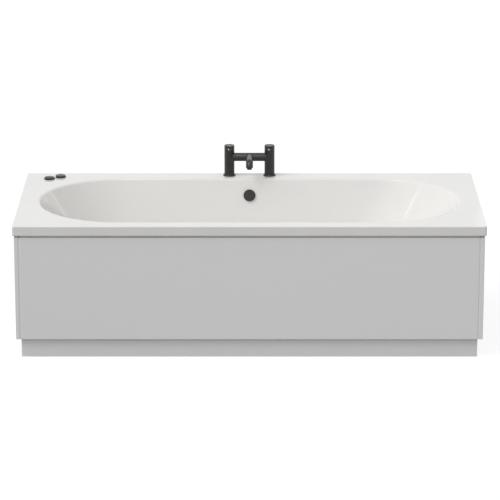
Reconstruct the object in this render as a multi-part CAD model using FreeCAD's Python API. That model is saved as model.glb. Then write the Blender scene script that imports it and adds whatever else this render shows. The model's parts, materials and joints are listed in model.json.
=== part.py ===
import FreeCAD
import Part
import math
import os

V = FreeCAD.Vector
X_AXIS = V(1, 0, 0)
Y_AXIS = V(0, 1, 0)
Z_AXIS = V(0, 0, 1)

# Whole bath: X along its length, front at -Y, floor of the room at Z 0
BATH_LENGTH = 1800.0
BATH_WIDTH = 800.0
WELL_DEPTH = 386.0
WELL_RISE = 140.0

# Clearances shared by every piece
CUT_OVERRUN = 5.0
RUNNING_GAP = 0.4
ASSEMBLY_GAP = 0.5
THREAD_GAP = 0.1

# Moulded shell
RIM_THICKNESS = 6.0
RIM_CORNER_RADIUS = 8.0
RIM_EDGE_RADIUS = 3.0
LIP_DEPTH = 38.5
LIP_THICKNESS = 6.0
LIP_EDGE_RADIUS = 4.0
FRONT_LEDGE = 67.0
REAR_LEDGE = 90.0
END_LEDGE = 78.0
WELL_EDGE_RADIUS = 10.0
END_TAPER = 247.0
SIDE_TAPER = 106.0
FLOOR_RADIUS = 75.0
SHELL_WALL = 8.0

# Panels, plinth and the battens behind them
PANEL_INSET = 6.0
FRONT_PANEL_THICKNESS = 18.0
END_PANEL_THICKNESS = 15.0
PANEL_GROOVE = 4.5
PANEL_GROOVE_DEPTH = 3.0
PANEL_TOP_GAP = 7.0
PANEL_EDGE_ROUND = 1.5
PANEL_REBATE = 8.0
PLINTH_HEIGHT = 75.5
PLINTH_THICKNESS = 18.0
PLINTH_SETBACK = 19.0
PANEL_BATTEN = 25.0
RIM_BATTEN_WIDTH = 36.0
RIM_BATTEN_THICKNESS = 18.0
RIM_BATTEN_INSET = 14.0
FRONT_BATTEN_MARGIN = 120.0
END_BATTEN_MARGIN = 240.0
REAR_BATTEN_START = 130.0
REAR_BATTEN_MARGIN = 210.0
CORNER_BLOCK_LENGTH = 48.0
CORNER_BLOCK_WIDTH = 40.0
BRACKET_LEG = 38.0
BRACKET_WIDTH = 30.0
BRACKET_THICKNESS = 2.0
FRONT_BRACKET_MARGIN = 360.0
FRONT_BRACKETS = 4
END_BRACKET_MARGIN = 440.0
END_BRACKETS = 2

# Base board and steel frame
BASE_BOARD_THICKNESS = 15.0
BASE_BOARD_INSET = 25.0
BASE_BOARD_OVERHANG = 5.0
WASTE_CUTOUT_RADIUS = 46.0
FRAME_TUBE = 30.0
FRAME_WALL = 2.0
FRAME_END_INSET = 57.0
RAIL_MARGIN = 248.0
OUTER_BEARER_INSET = 75.0
INNER_BEARER_SHARE = 0.36

# Adjustable feet
INNER_FOOT_SHARE = 0.6
FOOT_PAD_RADIUS = 20.0
FOOT_PAD_HEIGHT = 10.0
FOOT_SOCKET_DEPTH = 5.0
FOOT_STUD_RADIUS = 5.0
FOOT_STUD_IN_TUBE = 20.0
FOOT_NUT_RADIUS = 9.8
FOOT_NUT_HEIGHT = 8.0

# Two-pillar bath filler on the rear rim
TAP_CENTRES = 162.0
TAP_SETBACK = 36.0
TAP_HEIGHT = 126.0
PILLAR_RADIUS = 20.5
TAP_FLANGE_RADIUS = 25.0
TAP_FLANGE_HEIGHT = 6.5
TAP_FLANGE_ROUND = 3.5
BAR_RADIUS = 17.0
BAR_HEIGHT = 76.5
WATERWAY_RADIUS = 8.0
BAR_BORE = 7.0
TAIL_RADIUS = 13.2
TAIL_LENGTH = 72.0
TAIL_CONNECTION = 24.0
TAIL_RELIEF_LENGTH = 4.0
TAIL_RELIEF_DEPTH = 1.5
HANDLE_HEIGHT = 27.0
HANDLE_GAP = 0.6
HANDLE_ROUND = 1.6
SCOOP_RADIUS = 17.0
SCOOP_BITE = 6.5
SCOOP_DROP = 6.0
SCOOP_LIP = 2.4
CARTRIDGE_RADIUS = 11.5
CARTRIDGE_DEPTH = 26.0
SPINDLE_RADIUS = 4.0
SPINDLE_ENTRY = 18.0
SPOUT_RADIUS = 14.2
SPOUT_BORE = 8.0
SPOUT_REACH = 103.0
SPOUT_BEND = 17.0
SPOUT_DROP = 18.0
AERATOR_RADIUS = 10.0
AERATOR_BORE = 6.0
AERATOR_SHOW = 7.0
AERATOR_ENTRY = 8.0
RIM_NUT_HEIGHT = 8.0
TAP_NUT_RADIUS = 20.0

# Waste in the floor of the well, with its push plug
WASTE_FLANGE_RADIUS = 35.0
WASTE_FLANGE_HEIGHT = 2.5
WASTE_TUBE_RADIUS = 22.0
WASTE_TUBE_WALL = 3.0
WASTE_TUBE_LENGTH = 40.0
SPIDER_HEIGHT = 6.0
SPIDER_HUB_RADIUS = 8.0
SPIDER_SPOKE = 4.0
SPIDER_SPOKES = 3
PLUG_RADIUS = 29.0
PLUG_THICKNESS = 5.0
PLUG_CROWN = 2.5
PLUG_STEM_RADIUS = 4.0
PLUG_STEM_LENGTH = 52.0
SEAL_THICKNESS = 1.6
SEAL_WIDTH = 4.0
WASTE_BODY_RADIUS = 29.0
WASTE_BODY_FLANGE_RADIUS = 34.0
WASTE_BODY_FLANGE_HEIGHT = 5.0
WASTE_BODY_HEIGHT = 80.0
WASTE_OUTLET_RADIUS = 23.9
WASTE_OUTLET_LENGTH = 22.0
WASTE_WALL = 4.5

# Overflow on the rear wall and its pipe
OVERFLOW_DEPTH = 65.0
OVERFLOW_COVER_RADIUS = 24.0
OVERFLOW_COVER_HEIGHT = 8.0
OVERFLOW_COVER_ROUND = 2.5
OVERFLOW_COVER_WALL = 3.0
OVERFLOW_SLOT_WIDTH = 22.0
OVERFLOW_HUB_RADIUS = 7.0
OVERFLOW_NECK_RADIUS = 19.0
OVERFLOW_NECK_WALL = 3.0
OVERFLOW_BODY_RADIUS = 24.0
OVERFLOW_FLANGE_RADIUS = 29.0
OVERFLOW_FLANGE_HEIGHT = 4.0
OVERFLOW_BODY_DEPTH = 68.0
OVERFLOW_OUTLET_DEPTH = 44.0
OVERFLOW_OUTLET_LENGTH = 50.0
OVERFLOW_PIPE_RADIUS = 13.0
OVERFLOW_PIPE_WALL = 2.0
OVERFLOW_INLET_RISE = 20.0
OVERFLOW_FITTING_WALL = 3.5
OVERFLOW_ELBOW_LEG = 38.0
OVERFLOW_ELBOW_BEND = 20.0
OVERFLOW_INLET_LENGTH = 52.0

# Water jets along both long walls
JETS_PER_SIDE = 4
JET_END_MARGIN = 34.0
JET_FLANGE_RADIUS = 28.0
JET_FLANGE_HEIGHT = 4.0
JET_FLANGE_ROUND = 2.0
JET_NECK_RADIUS = 17.0
JET_NECK_LENGTH = 26.0
BALL_RADIUS = 12.0
BALL_DEPTH = 3.0
BALL_FACE = 9.0
BALL_BORE = 5.5
VENTURI_BORE = 8.0
JET_BODY_RADIUS = 23.0
JET_BODY_FLANGE_RADIUS = 27.0
JET_BODY_FLANGE_HEIGHT = 5.0
GASKET_THICKNESS = 3.0
JET_TEE_DEPTH = 46.0
JET_TEE_HALF = 36.0

# Water and air pipework
WATER_PIPE_RADIUS = 16.0
WATER_PIPE_WALL = 2.4
WATER_FITTING_WALL = 4.0
WATER_SOCKET_DEPTH = 14.0
WATER_ELBOW_LEG = 46.0
WATER_ELBOW_BEND = 26.0
WATER_TEE_LEG = 40.0
CAP_THICKNESS = 4.0
BRANCH_STEP = 0.5
WATER_HEADER_INSET = 150.0
AIR_PIPE_RADIUS = 10.0
AIR_PIPE_WALL = 1.5
AIR_FITTING_WALL = 2.5
AIR_SOCKET_DEPTH = 9.0
AIR_ELBOW_LEG = 25.0
AIR_ELBOW_BEND = 15.0
AIR_TEE_LEG = 22.0
AIR_STUB_RADIUS = 7.0
AIR_STUB_BORE = 4.5
AIR_STUB_BACK = 22.0
AIR_RISE = 52.0
AIR_SLEEVE_LENGTH = 23.0
AIR_SLEEVE_ENTRY = 11.0

# Suction fitting in the front wall and its hose
SUCTION_RISE = 98.0
SUCTION_BELOW_JETS_SHARE = 0.2
SUCTION_GRILLE_RADIUS = 42.0
SUCTION_GRILLE_HEIGHT = 10.0
SUCTION_GRILLE_ROUND = 4.0
SUCTION_GRILLE_WALL = 3.0
SUCTION_HOLE_RADIUS = 3.2
SUCTION_HOLE_RINGS = 3
SUCTION_HOLE_PITCH = 11.0
SUCTION_NECK_RADIUS = 25.0
SUCTION_NECK_WALL = 3.0
SUCTION_NECK_LENGTH = 24.0
SUCTION_FLANGE_RADIUS = 35.0
SUCTION_FLANGE_HEIGHT = 5.0
SUCTION_BODY_RADIUS = 30.0
SUCTION_BODY_DEPTH = 84.0
SUCTION_TAIL_DEPTH = 52.0
SUCTION_TAIL_LENGTH = 62.0
SUCTION_SOCKET_DEPTH = 18.0
HOSE_RADIUS = 25.0
HOSE_WALL = 3.5
HOSE_FITTING_WALL = 4.5
HOSE_BEND_SHARE = 0.94

# Pump under the left end, axis along Y
PUMP_RAIL_OFFSET = 120.0
PUMP_DROP = 70.0
VOLUTE_RADIUS = 62.0
VOLUTE_LENGTH = 62.0
VOLUTE_WALL = 8.0
VOLUTE_ROUND = 8.0
PUMP_SPIGOT_RISE = 18.0
PUMP_INLET_LENGTH = 35.0
MOTOR_FLANGE_RADIUS = 58.0
MOTOR_FLANGE_HEIGHT = 8.0
MOTOR_RADIUS = 47.0
MOTOR_LENGTH = 162.0
MOTOR_FINS = 20
FIN_HEIGHT = 5.0
FIN_THICKNESS = 2.5
FAN_COVER_LENGTH = 46.0
FAN_COVER_WALL = 2.0
FAN_VENTS = 8
FAN_VENT_RADIUS = 6.0
SHAFT_RADIUS = 6.0
IMPELLER_RADIUS = 50.0
IMPELLER_DISC = 5.0
IMPELLER_BACK_GAP = 6.0
VANE_HEIGHT = 18.0
VANE_THICKNESS = 3.0
VANES = 6
FAN_RADIUS = 40.0
FAN_DISC = 3.0
FAN_GAP = 8.0
BLADE_HEIGHT = 16.0
BLADES = 8
ROTOR_HUB_RADIUS = 13.0
CRADLE_THICKNESS = 8.0
CRADLE_WIDTH = 90.0
CRADLE_HEIGHT = 44.0
CRADLE_INSET = 26.0
TRAY_DROP = 75.0
TRAY_THICKNESS = 4.0
TRAY_FRONT_OFFSET = 20.0
TRAY_REAR_OFFSET = 280.0
UNION_NUT_WALL = 7.0
UNION_NUT_LENGTH = 22.0

# Rim controls at the left rear corner and the box that they switch
AIR_CONTROL_SETBACK = 65.5
AIR_CONTROL_INSET = 138.0
BUTTON_OFFSET_X = -43.0
BUTTON_OFFSET_Y = -28.5
CONTROL_RADIUS = 21.5
CONTROL_NECK_RADIUS = 17.0
CONTROL_LENGTH = 52.0
CONTROL_NUT_RADIUS = 21.0
BEZEL_HEIGHT = 8.5
BEZEL_ROUND = 5.5
CAP_RADIUS = 15.0
CAP_HEIGHT = 5.5
CAP_RISE = 10.5
CAP_CROWN = 2.0
CAP_TRAVEL = 4.0
CONTROL_FLOOR = 8.0
BELLOWS_RADIUS = 11.0
BELLOWS_RIB = 2.5
BELLOWS_RIBS = 5
KNOB_RADIUS = 20.5
KNOB_SEAT = 2.0
KNOB_HEIGHT = 6.6
KNOB_ROUND = 4.0
KNOB_STEM_RADIUS = 6.0
KNOB_STEM_LENGTH = 24.0
KNOB_NOTCH_RADIUS = 4.0
KNOB_NOTCH_DEPTH = 1.2
TUBE_RADIUS = 3.0
TUBE_BORE = 1.6
BARB_RADIUS = 1.5
BARB_LENGTH = 8.0
BOX_LENGTH = 100.0
BOX_DEPTH = 56.0
BOX_HEIGHT = 115.0
BOX_ROUND = 5.0
BOX_BOTTOM_RISE = 45.0
GLAND_RADIUS = 9.0
GLAND_LENGTH = 14.0

# Places that follow from the sizes above
HALF_LENGTH = BATH_LENGTH / 2
HALF_WIDTH = BATH_WIDTH / 2
FLOOR_Z = WELL_RISE
RIM_HEIGHT = WELL_RISE + WELL_DEPTH
UNDERSIDE_Z = FLOOR_Z - SHELL_WALL
RIM_UNDERSIDE_Z = RIM_HEIGHT - RIM_THICKNESS
WELL_Y = (FRONT_LEDGE - REAR_LEDGE) / 2
TOP_HALF_LENGTH = HALF_LENGTH - END_LEDGE
TOP_HALF_WIDTH = (BATH_WIDTH - FRONT_LEDGE - REAR_LEDGE) / 2
FLOOR_LENGTH = 2 * (TOP_HALF_LENGTH - END_TAPER)
FLOOR_WIDTH = 2 * (TOP_HALF_WIDTH - SIDE_TAPER)
END_SLOPE = END_TAPER / WELL_DEPTH
SIDE_SLOPE = SIDE_TAPER / WELL_DEPTH
SIDE_TILT = math.atan(SIDE_SLOPE)
WALL_NORMAL = SHELL_WALL * math.cos(SIDE_TILT)
GASKET_BACK = WALL_NORMAL + GASKET_THICKNESS
PANEL_FRONT_Y = -HALF_WIDTH + PANEL_INSET
PANEL_BACK_Y = PANEL_FRONT_Y + FRONT_PANEL_THICKNESS
PANEL_REAR_Y = HALF_WIDTH - PANEL_INSET
PANEL_END_X = HALF_LENGTH - PANEL_INSET
PANEL_INNER_X = PANEL_END_X - END_PANEL_THICKNESS
PANEL_TOP_Z = RIM_HEIGHT - LIP_DEPTH - PANEL_TOP_GAP
PLINTH_FRONT_Y = PANEL_FRONT_Y + PLINTH_SETBACK
PLINTH_BACK_Y = PLINTH_FRONT_Y + PLINTH_THICKNESS
PLINTH_END_X = PANEL_END_X - PLINTH_SETBACK
RIM_BATTEN_Z = RIM_UNDERSIDE_Z - RIM_BATTEN_THICKNESS
FRONT_BATTEN_LENGTH = BATH_LENGTH - FRONT_BATTEN_MARGIN
END_BATTEN_LENGTH = BATH_WIDTH - END_BATTEN_MARGIN
REAR_BATTEN_LENGTH = HALF_LENGTH - REAR_BATTEN_START - REAR_BATTEN_MARGIN
FRONT_BRACKET_PITCH = (BATH_LENGTH - FRONT_BRACKET_MARGIN) / (FRONT_BRACKETS - 1)
END_BRACKET_PITCH = (BATH_WIDTH - END_BRACKET_MARGIN) / (END_BRACKETS - 1)
BASE_BOARD_WIDTH = FLOOR_WIDTH - 2 * BASE_BOARD_INSET
FRAME_TOP_Z = UNDERSIDE_Z - BASE_BOARD_THICKNESS
FRAME_BOTTOM_Z = FRAME_TOP_Z - FRAME_TUBE
FRAME_HALF_LENGTH = HALF_LENGTH - FRAME_END_INSET
RAIL_SPREAD = BATH_WIDTH - RAIL_MARGIN
RAIL_YS = (WELL_Y - RAIL_SPREAD / 2, WELL_Y + RAIL_SPREAD / 2)
END_BAR_X = FRAME_HALF_LENGTH - FRAME_TUBE / 2
OUTER_BEARER_X = FLOOR_LENGTH / 2 - OUTER_BEARER_INSET
INNER_BEARER_X = OUTER_BEARER_X * INNER_BEARER_SHARE
INNER_FOOT_X = OUTER_BEARER_X * INNER_FOOT_SHARE
FOOT_XS = (-END_BAR_X, -INNER_FOOT_X, INNER_FOOT_X, END_BAR_X)
TAP_Y = HALF_WIDTH - TAP_SETBACK
TAP_XS = (-TAP_CENTRES / 2, TAP_CENTRES / 2)
BAR_Z = RIM_HEIGHT + BAR_HEIGHT
PILLAR_TOP_Z = RIM_HEIGHT + TAP_HEIGHT - HANDLE_HEIGHT - HANDLE_GAP
HANDLE_BOTTOM_Z = PILLAR_TOP_Z + HANDLE_GAP
SPOUT_END_Z = BAR_Z - SPOUT_DROP
GASKET_Z = UNDERSIDE_Z - GASKET_THICKNESS
WASTE_BOTTOM_Z = GASKET_Z - WASTE_BODY_HEIGHT
OVERFLOW_PIPE_Z = WASTE_BOTTOM_Z + OVERFLOW_INLET_RISE
PLUG_Z = FLOOR_Z + WASTE_FLANGE_HEIGHT + RUNNING_GAP + SEAL_THICKNESS
HEADER_X = -HALF_LENGTH + WATER_HEADER_INSET
AIR_CONTROL = V(-HALF_LENGTH + AIR_CONTROL_INSET, HALF_WIDTH - AIR_CONTROL_SETBACK, RIM_HEIGHT)
BUTTON = AIR_CONTROL + V(BUTTON_OFFSET_X, BUTTON_OFFSET_Y, 0)
CONTROL_BOTTOM_Z = RIM_HEIGHT - CONTROL_LENGTH
SUCTION_DEPTH = WELL_DEPTH - SUCTION_RISE
JET_DEPTH = SUCTION_DEPTH - WELL_DEPTH * SUCTION_BELOW_JETS_SHARE
JET_WALL_FLAT = TOP_HALF_LENGTH - TOP_HALF_WIDTH - JET_DEPTH * (END_SLOPE - SIDE_SLOPE)
JET_PITCH = 2 * (JET_WALL_FLAT - JET_END_MARGIN) / (JETS_PER_SIDE - 1)
JET_XS = [(number - (JETS_PER_SIDE - 1) / 2) * JET_PITCH for number in range(JETS_PER_SIDE)]
SUCTION_X = (JET_XS[0] + JET_XS[1]) / 2
PUMP_Y = RAIL_YS[0] + PUMP_RAIL_OFFSET
TRAY_FRONT_Y = PUMP_Y + TRAY_FRONT_OFFSET
TRAY_REAR_Y = PUMP_Y + TRAY_REAR_OFFSET
SIDES = (-1, 1)


# Basic solids
def box(x0, x1, y0, y1, z0, z1):
    return Part.makeBox(x1 - x0, y1 - y0, z1 - z0, V(x0, y0, z0))


def rod(radius, start, end):
    run = end - start
    return Part.makeCylinder(radius, run.Length, start, run)


def upright_rod(radius, x, y, z0, z1):
    return rod(radius, V(x, y, z0), V(x, y, z1))


def tube(radius, wall, start, end):
    return rod(radius, start, end).cut(rod(radius - wall, start, end))


def turned(outline):
    corners = [V(radius, 0, z) for radius, z in outline]
    face = Part.Face(Part.makePolygon(corners + corners[:1]))
    return face.revolve(V(0, 0, 0), Z_AXIS, 360)


def joined(pieces):
    return pieces[0].fuse(pieces[1:]).removeSplitter()


def prism_nut(radius, bore, start, end, sides):
    run = end - start
    corners = []
    for number in range(sides + 1):
        turn = 2 * math.pi * number / sides
        corners.append(V(radius * math.cos(turn), radius * math.sin(turn), 0))
    nut = Part.Face(Part.makePolygon(corners)).extrude(Z_AXIS * run.Length)
    nut.Placement = FreeCAD.Placement(start, FreeCAD.Rotation(Z_AXIS, run))
    return nut.cut(rod(bore, start, end))


def flat_edges(shape, z):
    level = []
    for edge in shape.Edges:
        if abs(edge.BoundBox.ZMin - z) + abs(edge.BoundBox.ZMax - z) < CUT_OVERRUN / 1000:
            level.append(edge)
    return level


def upright_edges(shape):
    return [edge for edge in shape.Edges if abs(edge.tangentAt(edge.FirstParameter).z) > 0.99]


def placed(shape, placement):
    moved = shape.copy()
    moved.Placement = placement.multiply(moved.Placement)
    return moved


# Frame on a long wall of the well: local Z points into the well, local Y up the wall
def wall_frame(side, x, depth):
    y = WELL_Y + side * (TOP_HALF_WIDTH - depth * SIDE_SLOPE)
    inward = V(0, -side * math.cos(SIDE_TILT), math.sin(SIDE_TILT))
    along = V(side, 0, 0)
    turn = FreeCAD.Rotation(along, inward.cross(along), inward, "ZXY")
    return FreeCAD.Placement(V(x, y, RIM_HEIGHT - depth), turn)


def axial_rod(radius, z0, z1):
    return rod(radius, V(0, 0, z0), V(0, 0, z1))


def axial_ring(radius, bore, z0, z1):
    return axial_rod(radius, z0, z1).cut(axial_rod(bore, z0, z1))


# Pipe fittings
def swept(radius, points, bend):
    edges = []
    start = points[0]
    for before, corner, after in zip(points, points[1:], points[2:]):
        back = (before - corner).normalize()
        ahead = (after - corner).normalize()
        middle = corner + (back + ahead) * bend - (back + ahead).normalize() * bend
        enter = corner + back * bend
        leave = corner + ahead * bend
        edges.append(Part.LineSegment(start, enter).toShape())
        edges.append(Part.Arc(enter, middle, leave).toShape())
        start = leave
    edges.append(Part.LineSegment(start, points[-1]).toShape())
    section = Part.Wire(Part.makeCircle(radius, points[0], points[1] - points[0]))
    return Part.Wire(edges).makePipeShell([section], True, False)


def bent_tube(radius, wall, points, bend):
    return swept(radius, points, bend).cut(swept(radius - wall, points, bend))


def socket(radius, mouth, inward, depth):
    return rod(radius + THREAD_GAP, mouth, mouth + inward * depth)


def elbow(corner, first, second, leg, bend, pipe, pipe_wall, fitting_wall, depth):
    ends = [corner + first * leg, corner + second * leg]
    body = bent_tube(pipe + THREAD_GAP + fitting_wall, fitting_wall + pipe_wall + THREAD_GAP,
                     [ends[0], corner, ends[1]], bend)
    return body.cut([socket(pipe, ends[0], -first, depth), socket(pipe, ends[1], -second, depth)])


def tee(centre, run, branch, run_legs, branch_leg, pipe, pipe_wall, fitting_wall, depth):
    ends = [centre - run * run_legs[0], centre + run * run_legs[1], centre + branch * branch_leg]
    outer = pipe + THREAD_GAP + fitting_wall
    bore = pipe - pipe_wall
    body = joined([rod(outer, ends[0], ends[1]), rod(outer - BRANCH_STEP, centre, ends[2])])
    sockets = [socket(pipe, ends[0], run, depth), socket(pipe, ends[1], -run, depth),
               socket(pipe, ends[2], -branch, depth)]
    return body.cut([rod(bore, ends[0], ends[1]), rod(bore - BRANCH_STEP, centre, ends[2])] + sockets)


# Well of the bath: flat long walls and floor, slanting round ends
def well_edges(grow, z):
    half_length = FLOOR_LENGTH / 2 + (z - FLOOR_Z) * END_SLOPE + grow
    half_width = FLOOR_WIDTH / 2 + (z - FLOOR_Z) * SIDE_SLOPE + grow
    straight = half_length - half_width
    diagonal = half_width * math.sqrt(0.5)

    def point(x, y):
        return V(x, WELL_Y + y, z)

    def quarter(x_side, y_side):
        wall = point(x_side * straight, y_side * half_width)
        middle = point(x_side * (straight + diagonal), y_side * diagonal)
        tip = point(x_side * half_length, 0)
        return wall, middle, tip

    edges = []
    for x_side, y_side in ((1, -1), (1, 1), (-1, 1), (-1, -1)):
        wall, middle, tip = quarter(x_side, y_side)
        edges.append(Part.Arc(wall, middle, tip).toShape())
    for side in SIDES:
        edges.append(Part.makeLine(point(-straight, side * half_width), point(straight, side * half_width)))
    return edges


def well_block(grow, bottom_z, top_z):
    low = well_edges(grow, bottom_z)
    high = well_edges(grow, top_z)
    faces = [Part.makeRuledSurface(below, above) for below, above in zip(low[:4], high[:4])]
    for below, above in zip(low[4:], high[4:]):
        corners = [below.Vertexes[0].Point, below.Vertexes[1].Point]
        corners += [above.Vertexes[1].Point, above.Vertexes[0].Point]
        faces.append(Part.Face(Part.makePolygon(corners + corners[:1])))
    for ring in (low, high):
        faces.append(Part.Face(Part.Wire(Part.sortEdges(ring)[0])))
    shell = Part.Shell(faces)
    shell.sewShape()
    block = Part.Solid(shell)
    if block.Volume < 0:
        block.reverse()
    return block.makeFillet(FLOOR_RADIUS + grow, flat_edges(block, bottom_z))


def rim_tray():
    tray = box(-HALF_LENGTH, HALF_LENGTH, -HALF_WIDTH, HALF_WIDTH, RIM_HEIGHT - LIP_DEPTH, RIM_HEIGHT)
    tray = tray.makeFillet(RIM_CORNER_RADIUS, upright_edges(tray))
    tray = tray.makeFillet(RIM_EDGE_RADIUS, flat_edges(tray, RIM_HEIGHT))
    tray = tray.makeFillet(LIP_EDGE_RADIUS, flat_edges(tray, RIM_HEIGHT - LIP_DEPTH))
    inner_length = HALF_LENGTH - LIP_THICKNESS
    inner_width = HALF_WIDTH - LIP_THICKNESS
    hollow = box(-inner_length, inner_length, -inner_width, inner_width,
                 RIM_HEIGHT - LIP_DEPTH - CUT_OVERRUN, RIM_UNDERSIDE_Z)
    return tray.cut(hollow)


def bath_shell():
    outside = well_block(SHELL_WALL, UNDERSIDE_Z, RIM_HEIGHT - RIM_THICKNESS / 2)
    inside = well_block(0, FLOOR_Z, RIM_HEIGHT + CUT_OVERRUN)
    shell = joined([rim_tray(), outside]).cut(inside)
    well_reach_x = TOP_HALF_LENGTH + CUT_OVERRUN
    well_reach_y = TOP_HALF_WIDTH + abs(WELL_Y) + CUT_OVERRUN
    well_rim = []
    for edge in flat_edges(shell, RIM_HEIGHT):
        bounds = edge.BoundBox
        if max(abs(bounds.XMin), abs(bounds.XMax)) < well_reach_x:
            if max(abs(bounds.YMin), abs(bounds.YMax)) < well_reach_y:
                well_rim.append(edge)
    shell = shell.makeFillet(WELL_EDGE_RADIUS, well_rim)
    holes = []
    for frame in jet_frames():
        holes.append(placed(wall_hole(JET_NECK_RADIUS), frame))
    holes.append(placed(wall_hole(SUCTION_NECK_RADIUS), suction_frame()))
    holes.append(placed(wall_hole(OVERFLOW_NECK_RADIUS), overflow_frame()))
    holes.append(upright_rod(WASTE_TUBE_RADIUS + ASSEMBLY_GAP, 0, WELL_Y, UNDERSIDE_Z - CUT_OVERRUN,
                             FLOOR_Z + CUT_OVERRUN))
    for x in TAP_XS:
        holes.append(rim_hole(TAIL_RADIUS, x, TAP_Y))
    for control in (AIR_CONTROL, BUTTON):
        holes.append(rim_hole(CONTROL_NECK_RADIUS, control.x, control.y))
    return shell.cut(holes)


def wall_hole(radius):
    return axial_rod(radius + ASSEMBLY_GAP, -SHELL_WALL - CUT_OVERRUN, CUT_OVERRUN)


def rim_hole(radius, x, y):
    return upright_rod(radius + ASSEMBLY_GAP, x, y, RIM_UNDERSIDE_Z - CUT_OVERRUN, RIM_HEIGHT + CUT_OVERRUN)


# Panels and plinth
def eased(board, x=None, y=None):
    edges = []
    for edge in board.Edges:
        bounds = edge.BoundBox
        on_x = x is not None and abs(bounds.XMin - x) + abs(bounds.XMax - x) < PANEL_EDGE_ROUND / 1000
        on_y = y is not None and abs(bounds.YMin - y) + abs(bounds.YMax - y) < PANEL_EDGE_ROUND / 1000
        if on_x or on_y:
            edges.append(edge)
    return board.makeFillet(PANEL_EDGE_ROUND, edges)


def front_panel():
    half = PANEL_INNER_X - PANEL_GROOVE
    groove_y = PANEL_FRONT_Y + PANEL_GROOVE_DEPTH
    board = box(-half, half, PANEL_FRONT_Y, PANEL_BACK_Y, PLINTH_HEIGHT, PANEL_TOP_Z)
    backing = box(-PANEL_INNER_X, PANEL_INNER_X, groove_y, PANEL_BACK_Y, PLINTH_HEIGHT, PANEL_TOP_Z)
    tongue = box(-half, half, PANEL_FRONT_Y + PANEL_REBATE, PANEL_BACK_Y, PANEL_TOP_Z, RIM_BATTEN_Z)
    return joined([eased(board, y=PANEL_FRONT_Y), backing, tongue])


def end_panels():
    boards = []
    for side in SIDES:
        outer, inner = side * PANEL_END_X, side * PANEL_INNER_X
        x0, x1 = min(outer, inner), max(outer, inner)
        board = box(x0, x1, PANEL_FRONT_Y, PANEL_REAR_Y, PLINTH_HEIGHT, PANEL_TOP_Z)
        shoulder = outer - side * PANEL_REBATE
        tongue = box(min(shoulder, inner), max(shoulder, inner), PANEL_FRONT_Y + PANEL_REBATE, PANEL_REAR_Y,
                     PANEL_TOP_Z, RIM_BATTEN_Z)
        boards.append(joined([eased(board, x=outer, y=PANEL_FRONT_Y), tongue]))
    return boards


def plinth_boards():
    boards = [box(-PLINTH_END_X, PLINTH_END_X, PLINTH_FRONT_Y, PLINTH_BACK_Y, 0, PLINTH_HEIGHT)]
    for side in SIDES:
        outer, inner = side * PLINTH_END_X, side * (PLINTH_END_X - PLINTH_THICKNESS)
        x0, x1 = min(outer, inner), max(outer, inner)
        boards.append(box(x0, x1, PLINTH_BACK_Y, PANEL_REAR_Y, 0, PLINTH_HEIGHT))
    return boards


def panel_battens():
    batten_x = PANEL_INNER_X - PANEL_BATTEN
    batten_y = PANEL_BACK_Y + PANEL_BATTEN
    top_z = PLINTH_HEIGHT + PANEL_BATTEN
    battens = [box(-batten_x, batten_x, PANEL_BACK_Y, batten_y, PLINTH_HEIGHT, top_z)]
    for side in SIDES:
        x0 = min(side * batten_x, side * PANEL_INNER_X)
        x1 = max(side * batten_x, side * PANEL_INNER_X)
        battens.append(box(x0, x1, batten_y, PANEL_REAR_Y, PLINTH_HEIGHT, top_z))
        battens.append(box(x0, x1, PANEL_BACK_Y, batten_y, PLINTH_HEIGHT, PANEL_TOP_Z))
    return battens


# Battens and blocks glued under the rim
def rim_battens():
    outer_y = HALF_WIDTH - RIM_BATTEN_INSET
    inner_y = outer_y - RIM_BATTEN_WIDTH
    outer_x = HALF_LENGTH - RIM_BATTEN_INSET
    inner_x = outer_x - RIM_BATTEN_WIDTH
    z0, z1 = RIM_BATTEN_Z, RIM_UNDERSIDE_Z
    half_front = FRONT_BATTEN_LENGTH / 2
    half_end = END_BATTEN_LENGTH / 2
    battens = [box(-half_front, half_front, -outer_y, -inner_y, z0, z1)]
    for side in SIDES:
        near, far = side * REAR_BATTEN_START, side * (REAR_BATTEN_START + REAR_BATTEN_LENGTH)
        battens.append(box(min(near, far), max(near, far), inner_y, outer_y, z0, z1))
        inner, outer = side * inner_x, side * outer_x
        x0, x1 = min(inner, outer), max(inner, outer)
        battens.append(box(x0, x1, WELL_Y - half_end, WELL_Y + half_end, z0, z1))
        block = side * (inner_x - ASSEMBLY_GAP)
        block_end = block - side * CORNER_BLOCK_LENGTH
        for y in RAIL_YS:
            battens.append(box(min(block, block_end), max(block, block_end), y - CORNER_BLOCK_WIDTH / 2,
                               y + CORNER_BLOCK_WIDTH / 2, z0, z1))
    return battens


def panel_brackets():
    brackets = []
    half = BRACKET_WIDTH / 2
    low_z, high_z = RIM_BATTEN_Z - BRACKET_LEG, RIM_BATTEN_Z
    shelf_z = high_z - BRACKET_THICKNESS
    for number in range(FRONT_BRACKETS):
        x = (number - (FRONT_BRACKETS - 1) / 2) * FRONT_BRACKET_PITCH
        upright = box(x - half, x + half, PANEL_BACK_Y, PANEL_BACK_Y + BRACKET_THICKNESS, low_z, high_z)
        shelf = box(x - half, x + half, PANEL_BACK_Y, PANEL_BACK_Y + BRACKET_LEG, shelf_z, high_z)
        brackets.append(joined([upright, shelf]))
    for side in SIDES:
        face = side * PANEL_INNER_X
        skin = face - side * BRACKET_THICKNESS
        reach = face - side * BRACKET_LEG
        for number in range(END_BRACKETS):
            y = WELL_Y + (number - (END_BRACKETS - 1) / 2) * END_BRACKET_PITCH
            upright = box(min(face, skin), max(face, skin), y - half, y + half, low_z, high_z)
            shelf = box(min(face, reach), max(face, reach), y - half, y + half, shelf_z, high_z)
            brackets.append(joined([upright, shelf]))
    return brackets


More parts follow.
